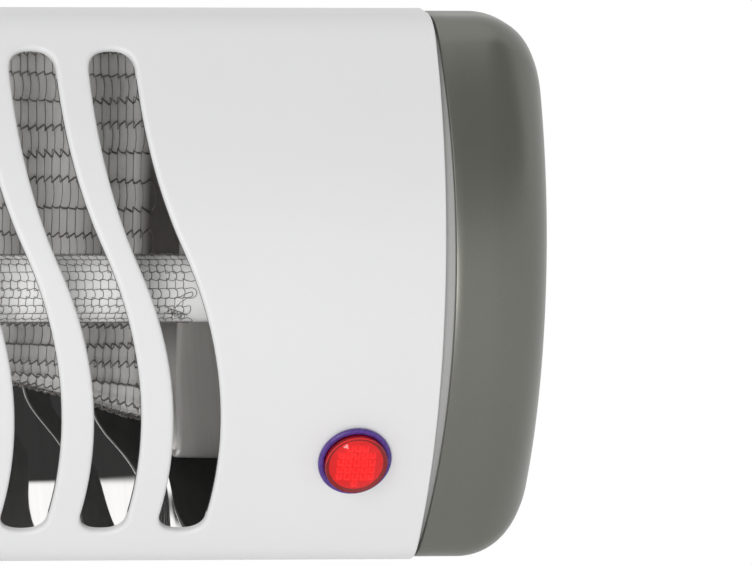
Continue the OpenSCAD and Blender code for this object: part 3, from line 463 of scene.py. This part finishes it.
# Ceramic holders with their clips and terminals.
# White glazed sockets that the tube's ends sit in; a forked plate drops into the groove of
# each, and the element's pin comes out behind with a flat tab.
holder_x, holder_l, holder_r = housing_end - 42, 29, 9.5
seat_r, seat_l, pin_r = 6.75, 12, 1.65
groove_x, groove_w, groove_d, groove_edge = 15.6, 1.9, 1.2, 0.2
glaze = Finish("white glaze", IOR=1.5, Coat_Weight=0.5, Coat_Roughness=0.04)
fired = glaze.noise(6, 3)
glaze.set(
    Base_Color=glaze.blend(fired, (0.76, 0.75, 0.72), (0.84, 0.83, 0.81)),
    Roughness=glaze.between(fired, 0.25, 0.35))
glaze.bump(glaze.noise(2.5, 2), 0.03, 0.4)
groove_end = groove_x + groove_w
holder_edge = [(holder_r - 0.8, 0), (holder_r - 0.4, 0.1), (holder_r - 0.1, 0.4), (holder_r, 0.8)]
profile = [(seat_r, seat_l), (seat_r, 0.4), (seat_r + 0.4, 0)] + holder_edge
profile += [(holder_r, 4), (holder_r, 8), (holder_r, 12), (holder_r, groove_x)]
profile += [(holder_r - groove_edge, groove_x + groove_edge), (holder_r - groove_d, groove_x + groove_edge)]
profile += [(holder_r - groove_d, groove_end - groove_edge)]
profile += [(holder_r - groove_edge, groove_end - groove_edge), (holder_r, groove_end), (holder_r, 22)]
profile += [(r, holder_l - h) for r, h in holder_edge[::-1]]
profile += [(pin_r, holder_l), (pin_r, seat_l), (seat_r, seat_l)]
for side, name in ((-1, "left"), (1, "right")):
    seat = Matrix.Translation((side * holder_x, tube_y, tube_z)) @ Matrix.Rotation(side * pi / 2, 4, "Y")
    socket = turned(bmesh.new(), profile, seat, 80)
    piece(socket, "ceramic_socket_" + name, glaze, "ceramic", "ceramic_holder_" + name, crease=50)

nickel = Finish("nickel plating", Metallic=1.0)
plated = nickel.noise(1.2, 3)
nickel.set(
    Base_Color=nickel.blend(plated, (0.6, 0.58, 0.54), (0.74, 0.72, 0.68)),
    Roughness=nickel.between(plated, 0.2, 0.34))
coat(nickel, "element_terminal_left", "element_terminal_right")


# Front housing.
# White coated sheet. The blank is punched flat with the wave slots and the lamp's hole, its
# cut edges are rounded over, and it is then rolled to the bow and folded at both long edges.
bow_r, corner_r, half_h, wall, housing_d = 88.0, 10.0, 55.0, 1.6, 30.8
corner_z = half_h - corner_r
bow_turn = asin(corner_z / (bow_r - corner_r))
corner_d = bow_r - sqrt((bow_r - corner_r) ** 2 - corner_z ** 2)
bow_a = bow_r * bow_turn
corner_a = bow_a + corner_r * (pi / 2 - bow_turn)
edge_a = corner_a + housing_d - corner_d


def rolled(x, a, h):
    """Place on the rolled front: a runs round from the middle line, h stands out from it."""
    side = 1 if a >= 0 else -1
    a = abs(a)
    if a <= bow_a:
        depth, z = bow_r - (bow_r + h) * cos(a / bow_r), (bow_r + h) * sin(a / bow_r)
    elif a <= corner_a:
        t = bow_turn + (a - bow_a) / corner_r
        depth, z = corner_d - (corner_r + h) * cos(t), corner_z + (corner_r + h) * sin(t)
    else:
        depth, z = corner_d + a - corner_a, half_h + h
    return Vector((x, front_y + depth, side * z))


slot_count, slot_w, slot_top, slot_bottom = 19, 9.46, 49.1, 47.7
slot_turn, slot_lean, upper_bend, lower_bend = 9.2, radians(25), 93.0, 98.0
top_round, bottom_round, bluntness = 4.0, 3.4, 2.4


def slot_edge(s):
    """One long edge of a slot: the upper bend, then the lower bend."""
    lean = Vector((cos(slot_lean), sin(slot_lean)))
    upper = Vector((0, slot_turn)) + upper_bend * lean
    lower = Vector((0, slot_turn)) - lower_bend * lean
    a0 = asin((upper[1] - slot_top + top_round) / (upper_bend - s))
    a1 = asin(-(lower[1] + slot_bottom - bottom_round) / (lower_bend + s))
    steps = 20
    edge = [upper - (upper_bend - s) * Vector((cos(a), sin(a)))
            for a in (a0 + i * (slot_lean - a0) / steps for i in range(steps))]
    return edge + [lower + (lower_bend + s) * Vector((cos(a), sin(a)))
                   for a in (slot_lean + i * (a1 - slot_lean) / steps for i in range(steps + 1))]


def slot_end(p, q, reach):
    """Blunt round end from p to q."""
    power, steps = 2 / bluntness, 18
    points = []
    for i in range(1, steps):
        a = pi - i * pi / steps
        across = (1 if cos(a) > 0 else -1) * abs(cos(a)) ** power
        points.append((p + q) / 2 + (q - p) / 2 * across + Vector((0, reach * sin(a) ** power)))
    return points


def offset(line, by):
    """Closed line moved outwards by a distance."""
    moved = []
    for i, point in enumerate(line):
        one = (point - line[i - 1]).normalized()
        two = (line[(i + 1) % len(line)] - point).normalized()
        run = (one + two).normalized()
        moved.append(point + by * Vector((-run[1], run[0])))
    return moved


left_edge, right_edge = slot_edge(-slot_w / 2), slot_edge(slot_w / 2)
slot = slot_end(left_edge[0], right_edge[0], top_round) + right_edge
slot += slot_end(right_edge[-1], left_edge[-1], -bottom_round) + left_edge[::-1]
slot = [Vector((x, bow_r * asin(z / bow_r))) for x, z in slot]

# The flat face of the blank is filled in up to a band along each cut edge. The band is 1.4
# radii of the edge wide, and is then drawn out and round the edge to the back.
edge_round, trim_round, back_round, band_w = 0.85, 0.3, 0.12, 1.4
lamp_x, lamp_z = housing_end - 16, -31.9
lamp_a = bow_r * asin(lamp_z / bow_r)
inset = band_w * trim_round
reach_x, reach_a, lamp_hole = housing_end - inset, edge_a - inset, 6.15 + inset
blank = bmesh.new()
lay(blank, [(-reach_x, -reach_a, 0), (reach_x, -reach_a, 0), (reach_x, reach_a, 0), (-reach_x, reach_a, 0)])
for k in range(slot_count):
    x0 = (k - (slot_count - 1) / 2) * slot_pitch
    lay(blank, [(x0 + x, a, 0) for x, a in offset(slot, band_w * edge_round)])
lay(blank, [(lamp_x + lamp_hole * cos(t), lamp_a + lamp_hole * sin(t), 0)
            for t in (i * pi / 32 for i in range(64))])
bmesh.ops.triangle_fill(blank, use_beauty=True, use_dissolve=False, edges=blank.edges[:], normal=(0, 0, 1))
folds = [i * 2.0 for i in range(-26, 27)] + [-bow_a, bow_a]
folds += [s * (bow_a + i * (corner_a - bow_a) / 8) for s in (-1, 1) for i in range(1, 9)]
for a in folds:
    bmesh.ops.bisect_plane(blank, geom=blank.verts[:] + blank.edges[:] + blank.faces[:], dist=1e-5,
                           plane_co=(0, a, 0), plane_no=(0, 1, 0))
for face in blank.faces:
    if face.normal[2] < 0:
        face.normal_flip()
front_faces = blank.faces[:]

# Each vertex of a cut edge keeps its place, its way out of the sheet and its edge's radius.
rim = {}
for edge in blank.edges:
    if edge.is_boundary:
        run = (edge.verts[1].co - edge.verts[0].co).normalized()
        off = Vector((-run[1], run[0], 0))
        if off.dot(edge.link_faces[0].calc_center_median() - edge.verts[0].co) > 0:
            off = -off
        for v in edge.verts:
            rim.setdefault(v, []).append(off)
for v, offs in rim.items():
    out = sum(offs, Vector()).normalized()
    at_slot = abs(v.co[0]) < reach_x - 0.1 and abs(v.co[1]) < reach_a - 0.1
    at_slot = at_slot and (Vector((lamp_x, lamp_a)) - v.co.xy).length > lamp_hole + 0.1
    rim[v] = (v.co.copy(), out / out.dot(offs[0]), edge_round if at_slot else trim_round)
copied = bmesh.ops.duplicate(blank, geom=blank.verts[:] + blank.edges[:] + front_faces)
back_of = copied["vert_map"]
bmesh.ops.reverse_faces(blank, faces=[f for f in copied["geom"] if isinstance(f, bmesh.types.BMFace)])
front_set = set(front_faces)
for v in {v for f in front_faces for v in f.verts}:
    twin = back_of[v]
    twin.co[2] = -wall
    if v in rim:
        base, out, r = rim[v]
        twin.co = base + out * (band_w * r - back_round) + Vector((0, 0, -wall))


def round_over(r):
    """Steps round a cut edge of radius r to the back: in from the edge, out from the front."""
    quarter = [radians(22.5 * i) for i in range(5)]
    rounded = [(r * (1 - sin(t)), -r * (1 - cos(t))) for t in quarter]
    return rounded + [(0, back_round - wall), (back_round, -wall)]


edges = [e for e in blank.edges if e.is_boundary and e.link_faces[0] in front_set]
track = {v: rim[v] for e in edges for v in e.verts}
for step in range(len(round_over(edge_round))):
    made = bmesh.ops.extrude_edge_only(blank, edges=edges)["geom"]
    new = {v for v in made if isinstance(v, bmesh.types.BMVert)}
    edges = [e for e in made if isinstance(e, bmesh.types.BMEdge) and new.issuperset(e.verts)]
    following = {}
    for v, (base, out, r) in track.items():
        twin = next(e.other_vert(v) for e in v.link_edges if e.other_vert(v) in new)
        d, h = round_over(r)[step]
        twin.co = base + out * (band_w * r - d) + Vector((0, 0, h))
        following[twin] = (base, out, r)
    track = following
bmesh.ops.remove_doubles(blank, verts=blank.verts, dist=0.0008)

# The back of the sheet and, away from the slots' ends, the inner part of the cuts are near black:
# painted shade for the unlit inside of the housing, which the mirror shows as its black band.
inner_shade_depth, inner_shade_reach = 1.0, 46
for face in blank.faces:
    _, a, h = face.calc_center_median()
    face.material_index = 1 if h < (-inner_shade_depth if abs(a) < inner_shade_reach else 0.1 - wall) else 0
for v in blank.verts:
    v.co = rolled(*v.co)
white_coat = Finish("white satin coat")
flow = white_coat.noise(30, 2)
white_coat.set(
    Base_Color=white_coat.blend(flow, (0.775, 0.775, 0.775), (0.795, 0.795, 0.797)),
    Roughness=white_coat.between(flow, 0.36, 0.44))
white_coat.bump(white_coat.noise(1.1, 2), 0.02, 0.25)
shell = piece(blank, "front_shell", white_coat, "housing_white", "front_housing")
# Painted shade: the near-black inner side stands in for the unlit inside of the housing.
painted_inner_shade = Finish("painted shade inner side", Roughness=0.6)
inner_shade_tone = painted_inner_shade.noise(1.6, 3)
painted_inner_shade.set(Base_Color=painted_inner_shade.blend(inner_shade_tone, (0.04, 0.04, 0.04), (0.075, 0.075, 0.075)))
painted_inner_shade.bump(inner_shade_tone, 0.03, 0.4)
shell.data.materials.append(painted_inner_shade.material)


# Rear cover.
# Folded white coated sheet that closes the back, with rows of air slots in both tapers; four
# screws hold it to the tabs of the end frames.
cover_coat = Finish("white cover coat")
flow = cover_coat.noise(24, 3)
cover_coat.set(
    Base_Color=cover_coat.blend(flow, (0.7, 0.7, 0.7), (0.74, 0.74, 0.745)),
    Roughness=cover_coat.between(flow, 0.4, 0.5))
cover_coat.bump(cover_coat.noise(1.0, 3), 0.03, 0.3)
coat(cover_coat, "rear_cover")


# End frames and end caps.
# A light grey frame clips into each end of the housing, and the cap goes over it: a pillow-
# shaped moulding with a satin warm grey coat, its inner edge bowed away from the housing.
frame_moulding = Finish("light grey moulding")
grain = frame_moulding.noise(0.6, 2)
frame_moulding.set(
    Base_Color=frame_moulding.blend(grain, (0.52, 0.52, 0.515), (0.58, 0.58, 0.575)),
    Roughness=frame_moulding.between(grain, 0.45, 0.55))
coat(frame_moulding, "end_frame_left", "end_frame_right")

taper_d, taper_rise, taper_run, back_d, least_top = 31, 15, 31, 62, 0.3
taper_turn = pi / 2 + atan2(taper_rise, taper_run)
taper_out = Vector((-cos(taper_turn), sin(taper_turn)))
taper_reach = taper_out.dot(Vector((taper_d, half_h)))


def arc(centre, r, a0, a1, steps):
    """Points of an arc, from the angle a0 to a1; 0 faces the front and pi / 2 faces up."""
    turns = [a0 + i * (a1 - a0) / steps for i in range(steps + 1)]
    return [Vector(centre) + r * Vector((-cos(a), sin(a))) for a in turns]


def outline(s, corner, ridge, heel):
    """Section of the lamp set in by s: bow, corner, flat top, ridge, taper, heel and flat back."""
    z = half_h - s - corner
    depth = bow_r - sqrt((bow_r - s - corner) ** 2 - z * z)
    lean = asin(z / (bow_r - s - corner))
    points = arc((bow_r, 0), bow_r - s, 0, lean, 26)[:-1] + arc((depth, z), corner, lean, pi / 2, 14)
    z = half_h - s - ridge
    depth = max(depth + least_top, (taper_reach - s - ridge - taper_out[1] * z) / taper_out[0])
    start, end = points[-1], Vector((depth, z + ridge))
    points += [start.lerp(end, i / 6) for i in range(1, 6)] + arc((depth, z), ridge, pi / 2, taper_turn, 6)
    depth = back_d - s - heel
    z = (taper_reach - s - heel - taper_out[0] * depth) / taper_out[1]
    heel_arc = arc((depth, z), heel, taper_turn, pi, 10)
    start, end = points[-1], heel_arc[0]
    points += [start.lerp(end, i / 8) for i in range(1, 8)] + heel_arc
    start = points[-1]
    points += [start.lerp(Vector((start[0], 0)), i / 8) for i in range(1, 9)]
    return points + [Vector((d, -z)) for d, z in points[-2:0:-1]]


cap_l, cap_round, cap_step, cap_skin, hollow_x = 23.4, 14.0, 0.5, 1.4, 12.3
ridge_r, ridge_least, heel_r, heel_least = 4, 1, 8, 1.5
gap_mid, gap_edge, gap_half = 2.2, 0.75, 50
gap_bow = gap_mid - gap_edge
gap_r = (gap_bow * gap_bow + gap_half * gap_half) / (2 * gap_bow)


def cap_ring(side, inset, out, follow=0.0):
    """Ring of a cap: set in from the housing's surface, out along the lamp. Where follow is 1,
    the ring follows the bowed gap to the housing. Further in, the ridge and the heel get
    sharper, and the top corner gets rounder and then sharper again."""
    corner = corner_r + 0.22 * inset - 0.9 * max(0, inset - 8)
    ridge, heel = max(ridge_r - 0.2 * inset, ridge_least), max(heel_r - 0.5 * inset, heel_least)
    points = []
    for d, z in outline(inset, corner, ridge, heel):
        gap = gap_mid - gap_r + sqrt(gap_r * gap_r - z * z)
        points.append((side * (housing_end + out + follow * gap), front_y + d, z))
    return points


satin_grey = Finish("satin warm grey coat", Metallic=0.4)
fleck = satin_grey.noise(0.25, 2, 0.7)
satin_grey.set(
    Base_Color=satin_grey.blend(fleck, (0.14, 0.14, 0.122), (0.19, 0.19, 0.168)),
    Roughness=satin_grey.between(satin_grey.noise(12, 2), 0.27, 0.33))
satin_grey.bump(fleck, 0.012, 0.4)
inner, rim_round, rim_ease = cap_step + cap_skin, 0.35, 0.1
rim_steps = [(inner, 4, 0), (inner, rim_round, 1), (inner - rim_ease, rim_ease, 1),
             (inner - rim_round, 0, 1), (cap_step + rim_round, 0, 1), (cap_step + rim_ease, rim_ease, 1),
             (cap_step, rim_round, 1), (cap_step, 4, 0)]
for side, name in ((-1, "left"), (1, "right")):
    cap = bmesh.new()
    inside_rim = chain = lay(cap, cap_ring(side, inner, hollow_x))
    for inset, out, follow in rim_steps:
        chain = extend(cap, chain, cap_ring(side, inset, out, follow))
    rounds = 30
    for i in range(rounds + 1):
        a = i * pi / 2 / rounds
        inset, out = cap_step + cap_round * (1 - cos(a)), cap_l - cap_round + cap_round * sin(a)
        chain = extend(cap, chain, cap_ring(side, inset, out))
    chain = extend(cap, chain, cap_ring(side, cap_step + cap_round + 1.5, cap_l))
    cap.faces.new(chain)
    chain, skin = inside_rim, 2.4
    hollow_r = cap_round - skin
    for i in range(7):
        a = i * pi / 12
        inset, out = cap_step + skin + hollow_r * (1 - cos(a)), cap_l - cap_round + hollow_r * sin(a)
        chain = extend(cap, chain, cap_ring(side, inset, max(out, hollow_x)))
    cap.faces.new(chain)
    bmesh.ops.recalc_face_normals(cap, faces=cap.faces)
    piece(cap, "satin_cap_" + name, satin_grey, "cap_grey", "end_cap_" + name)


# Pilot lamp.
# A violet ring round a clear red lens with a low dome, pushed into the housing from the front
# and held by a nut behind. The lens's red foot, its darker rim and U-shaped ridges show
# through the dome. The foot and the ridges carry a painted glow, and the ridges' light red is
# a painted highlight.
lamp_way = Matrix.Translation((lamp_x, front_y + bow_r - sqrt(bow_r ** 2 - lamp_z ** 2), lamp_z))
lamp_way @= Matrix.Rotation(pi / 2 + asin(-lamp_z / bow_r), 4, "X")
lens_r, lens_out, lens_back, lens_edge, dome_r = 6.3, 3.9, 0.45, 0.35, 13.0
violet = Finish("violet moulding", IOR=1.5)
tone = violet.noise(1.5, 2)
violet.set(
    Base_Color=violet.blend(tone, (0.06, 0.03, 0.2), (0.11, 0.045, 0.32)),
    Roughness=violet.between(tone, 0.2, 0.35))
ring_r, ring_in, ring_foot, ring_top, lens_seat, seat_h = 7.4, 6.02, 0.03, 0.86, 6.42, 0.36
profile = [(ring_in, ring_foot), (ring_r - 0.1, ring_foot), (ring_r, ring_foot + 0.09)]
profile += [(ring_r, ring_top - 0.26), (ring_r - 0.08, ring_top - 0.08), (ring_r - 0.3, ring_top)]
profile += [(lens_seat + 0.08, ring_top), (lens_seat, ring_top - 0.06), (lens_seat, seat_h)]
profile += [(ring_in, seat_h), (ring_in, ring_foot)]
bezel = turned(bmesh.new(), profile, lamp_way, 72)
piece(bezel, "violet_ring", violet, "bezel", "pilot_bezel", crease=50)

dome_centre = lens_out - dome_r
dome_turn = asin((lens_r - lens_edge) / dome_r)
edge_out = dome_centre + sqrt(dome_r ** 2 - (lens_r - lens_edge) ** 2)
profile = [(0, lens_back), (lens_r - 0.1, lens_back), (lens_r, lens_back + 0.1)]
profile += [(lens_r, edge_out - 0.3), (lens_r - 0.1, edge_out - 0.08)]
profile += [(dome_r * sin(a), dome_centre + dome_r * cos(a))
            for a in (dome_turn * (1 - i / 12) for i in range(12))] + [(0, lens_out)]
red_lens = Finish("clear red moulding", IOR=1.49, Transmission_Weight=1.0, Roughness=0.03,
                  Base_Color=(0.9, 0.02, 0.03))
lens_cap = turned(bmesh.new(), profile, lamp_way, 72)
piece(lens_cap, "red_lens", red_lens, "lens", "pilot_lens")

# Painted glow: the foot's emission stands in for light coming through the red lens.
painted_glow_foot = Finish("red lens foot", Roughness=0.3, Emission_Strength=0.3)
deep = painted_glow_foot.noise(1.2, 2)
painted_glow_foot.set(
    Base_Color=painted_glow_foot.blend(deep, (0.7, 0.005, 0.01), (0.85, 0.02, 0.02)),
    Emission_Color=painted_glow_foot.blend(deep, (0.7, 0.0, 0.01), (0.9, 0.01, 0.015)))
foot, foot_t, foot_r = 1.1, 0.3, 5.2
profile = [(0, foot - foot_t), (foot_r, foot - foot_t), (foot_r, foot), (0, foot)]
piece(turned(bmesh.new(), profile, lamp_way), "lens_foot", painted_glow_foot, "lens")

red_edge = Finish("dark red rim", Roughness=0.35)
red_edge.set(Base_Color=red_edge.blend(red_edge.noise(1.2, 2), (0.28, 0.0, 0.006), (0.42, 0.006, 0.012)))
rim_r, rim_in, rim_top = 6.2, foot_r - 0.1, foot - 0.05
profile = [(rim_in, rim_top - foot_t), (rim_r, rim_top - foot_t), (rim_r, rim_top), (rim_in, rim_top)]
profile += profile[:1]
piece(turned(bmesh.new(), profile, lamp_way), "lens_rim", red_edge, "lens")

# Painted highlight and painted glow: the ridges' light red and their emission stand in for light caught by
# the prisms.
painted_glow_ridges = Finish("red ridges, painted glints", Roughness=0.2, Emission_Strength=0.5)
pale_tone = painted_glow_ridges.noise(0.8, 2)
painted_glow_ridges.set(
    Base_Color=painted_glow_ridges.blend(pale_tone, (0.9, 0.1, 0.08), (1.0, 0.25, 0.2)),
    Emission_Color=painted_glow_ridges.blend(pale_tone, (0.9, 0.06, 0.05), (1.0, 0.14, 0.11)))
cell, leg, bar_w, bar_l, bar_h, ridges_r, ridges_up = 1.5, 0.45, 0.2, 1.0, 0.5, 4.3, 0.3
bars = ((-leg, 0.05, bar_w, bar_l), (leg, 0.05, bar_w, bar_l), (0, -leg, 2 * leg, bar_w))
bar_up = foot + 0.2
prisms = bmesh.new()
for i in range(-3, 4):
    for j in range(-3, 4):
        cx, cy = i * cell, (j + ridges_up) * cell
        if cx * cx + cy * cy < ridges_r ** 2:
            for dx, dy, w, l in bars:
                place = lamp_way @ Matrix.Translation((cx + dx, cy + dy, bar_up))
                bmesh.ops.create_cube(prisms, size=1.0, matrix=place @ Matrix.Diagonal((w, l, bar_h, 1)))
piece(prisms, "lens_prisms", painted_glow_ridges, "lens", crease=20)


# Inside the cover.
# Thermal cutout, terminal block, gland, leads and pull switch: plain catalogue parts behind the
# mirror. The switch's spring shortens as its rod is pulled down; here it only gets a mesh of its
# own, and nothing moves it.
brown_moulding = Finish("brown moulding")
swirl = brown_moulding.noise(1.5, 3)
brown_moulding.set(
    Base_Color=brown_moulding.blend(swirl, (0.1, 0.045, 0.025), (0.17, 0.085, 0.05)),
    Roughness=brown_moulding.between(swirl, 0.4, 0.55))
coat(brown_moulding, "thermal_cutout")

nylon = Finish("natural nylon", Subsurface_Weight=0.1, Subsurface_Scale=0.001)
haze = nylon.noise(2.0, 2)
nylon.set(
    Base_Color=nylon.blend(haze, (0.68, 0.67, 0.62), (0.76, 0.75, 0.71)),
    Roughness=nylon.between(haze, 0.4, 0.5))
coat(nylon, "terminal_block", "cable_gland", "gland_nut", "switch_body", "pull_rod", "cord_bush")

brass = Finish("brass", Metallic=1.0)
tarnish = brass.noise(1.0, 3)
brass.set(
    Base_Color=brass.blend(tarnish, (0.5, 0.34, 0.12), (0.72, 0.53, 0.24)),
    Roughness=brass.between(tarnish, 0.25, 0.4))
coat(brass, "terminal_screws")

spring_wire = Finish("spring wire", Metallic=1.0)
drawn = spring_wire.noise(0.5, 2)
spring_wire.set(
    Base_Color=spring_wire.blend(drawn, (0.45, 0.45, 0.45), (0.6, 0.6, 0.6)),
    Roughness=spring_wire.between(drawn, 0.25, 0.35))
coat(spring_wire, "pull_spring")
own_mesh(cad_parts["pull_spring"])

silicone = Finish("red silicone", Roughness=0.5)
dust = silicone.noise(1.4, 3)
silicone.set(Base_Color=silicone.blend(dust, (0.28, 0.02, 0.02), (0.36, 0.04, 0.035)))
coat(silicone, "internal_leads")


# Room.
# A pale floor that fades out before its edge, two soft lamps and a plain white room that is
# brightest overhead. A dark strip in front, from above the lamp's level to high up, is what the
# mirror trough shows as its black band.
floor_mesh = bmesh.new()
bmesh.ops.create_circle(floor_mesh, cap_ends=True, segments=96, radius=1.3,
                        matrix=Matrix.Translation((0, -0.1, -0.32)))
mesh = bpy.data.meshes.new("floor")
floor_mesh.to_mesh(mesh)
floor_mesh.free()
floor = bpy.data.objects.new("floor", mesh)
bpy.context.scene.collection.objects.link(floor)
pale = Finish("pale floor", Roughness=0.9, Base_Color=(0.85, 0.85, 0.85))
spread = pale.node("VectorMath", {"operation": "LENGTH"}, {0: pale.place}, "Value")
pale.set(Alpha=pale.between(spread, 1.0, 0.0, 0.5, 1.2))
mesh.materials.append(pale.material)

lit_point = Vector((0.15, -0.1, 0))
for name, place, size, energy in (("softbox", Vector((-1.0, -1.5, 0.75)), 0.9, 9),
                                  ("front_lamp", Vector((-0.45, -2.2, -0.12)), 0.7, 13)):
    light = bpy.data.lights.new(name, "AREA")
    light.shape = "SQUARE"
    light.size = size
    light.energy = energy
    lamp = bpy.data.objects.new(name, light)
    lamp.location = place
    lamp.rotation_euler = (lit_point - place).to_track_quat("-Z", "Y").to_euler()
    bpy.context.scene.collection.objects.link(lamp)

world = bpy.data.worlds.new("white room")
world.use_nodes = True
bpy.context.scene.world = world
room = world.node_tree
split = node(room, "SeparateXYZ", None, {0: node(room, "TexCoord", out="Generated")}).socket.node
front_way, height = Thread(split.outputs["Y"]), Thread(split.outputs["Z"])


def fade(value, start, end):
    """Goes smoothly from 0 to 1 as the value goes from start to end."""
    return node(room, "MapRange", {"interpolation_type": "SMOOTHSTEP", "clamp": True}, {
        "Value": value, "From Min": start, "From Max": end, "To Min": 0.0, "To Max": 1.0})


strip = fade(height, 0.12, 0.3) * (1 - fade(height, 0.823, 0.835)) * fade(-1 * front_way, 0.0, 0.2)
wall_light, strip_dark, floor_light, top_light = 0.86, 0.82, 0.1, 0.28
level_light = wall_light - strip_dark * strip
level_light += floor_light * fade(-1 * height, 0.0, 0.6) + top_light * fade(height, 0.823, 0.84)
seen = node(room, "LightPath", out="Is Camera Ray")
glow = node(room, "Background", None, {"Color": (1, 1, 1), "Strength": level_light * (1 - seen) + seen})
room.links.new(glow.socket, room.nodes.get("World Output").inputs["Surface"])
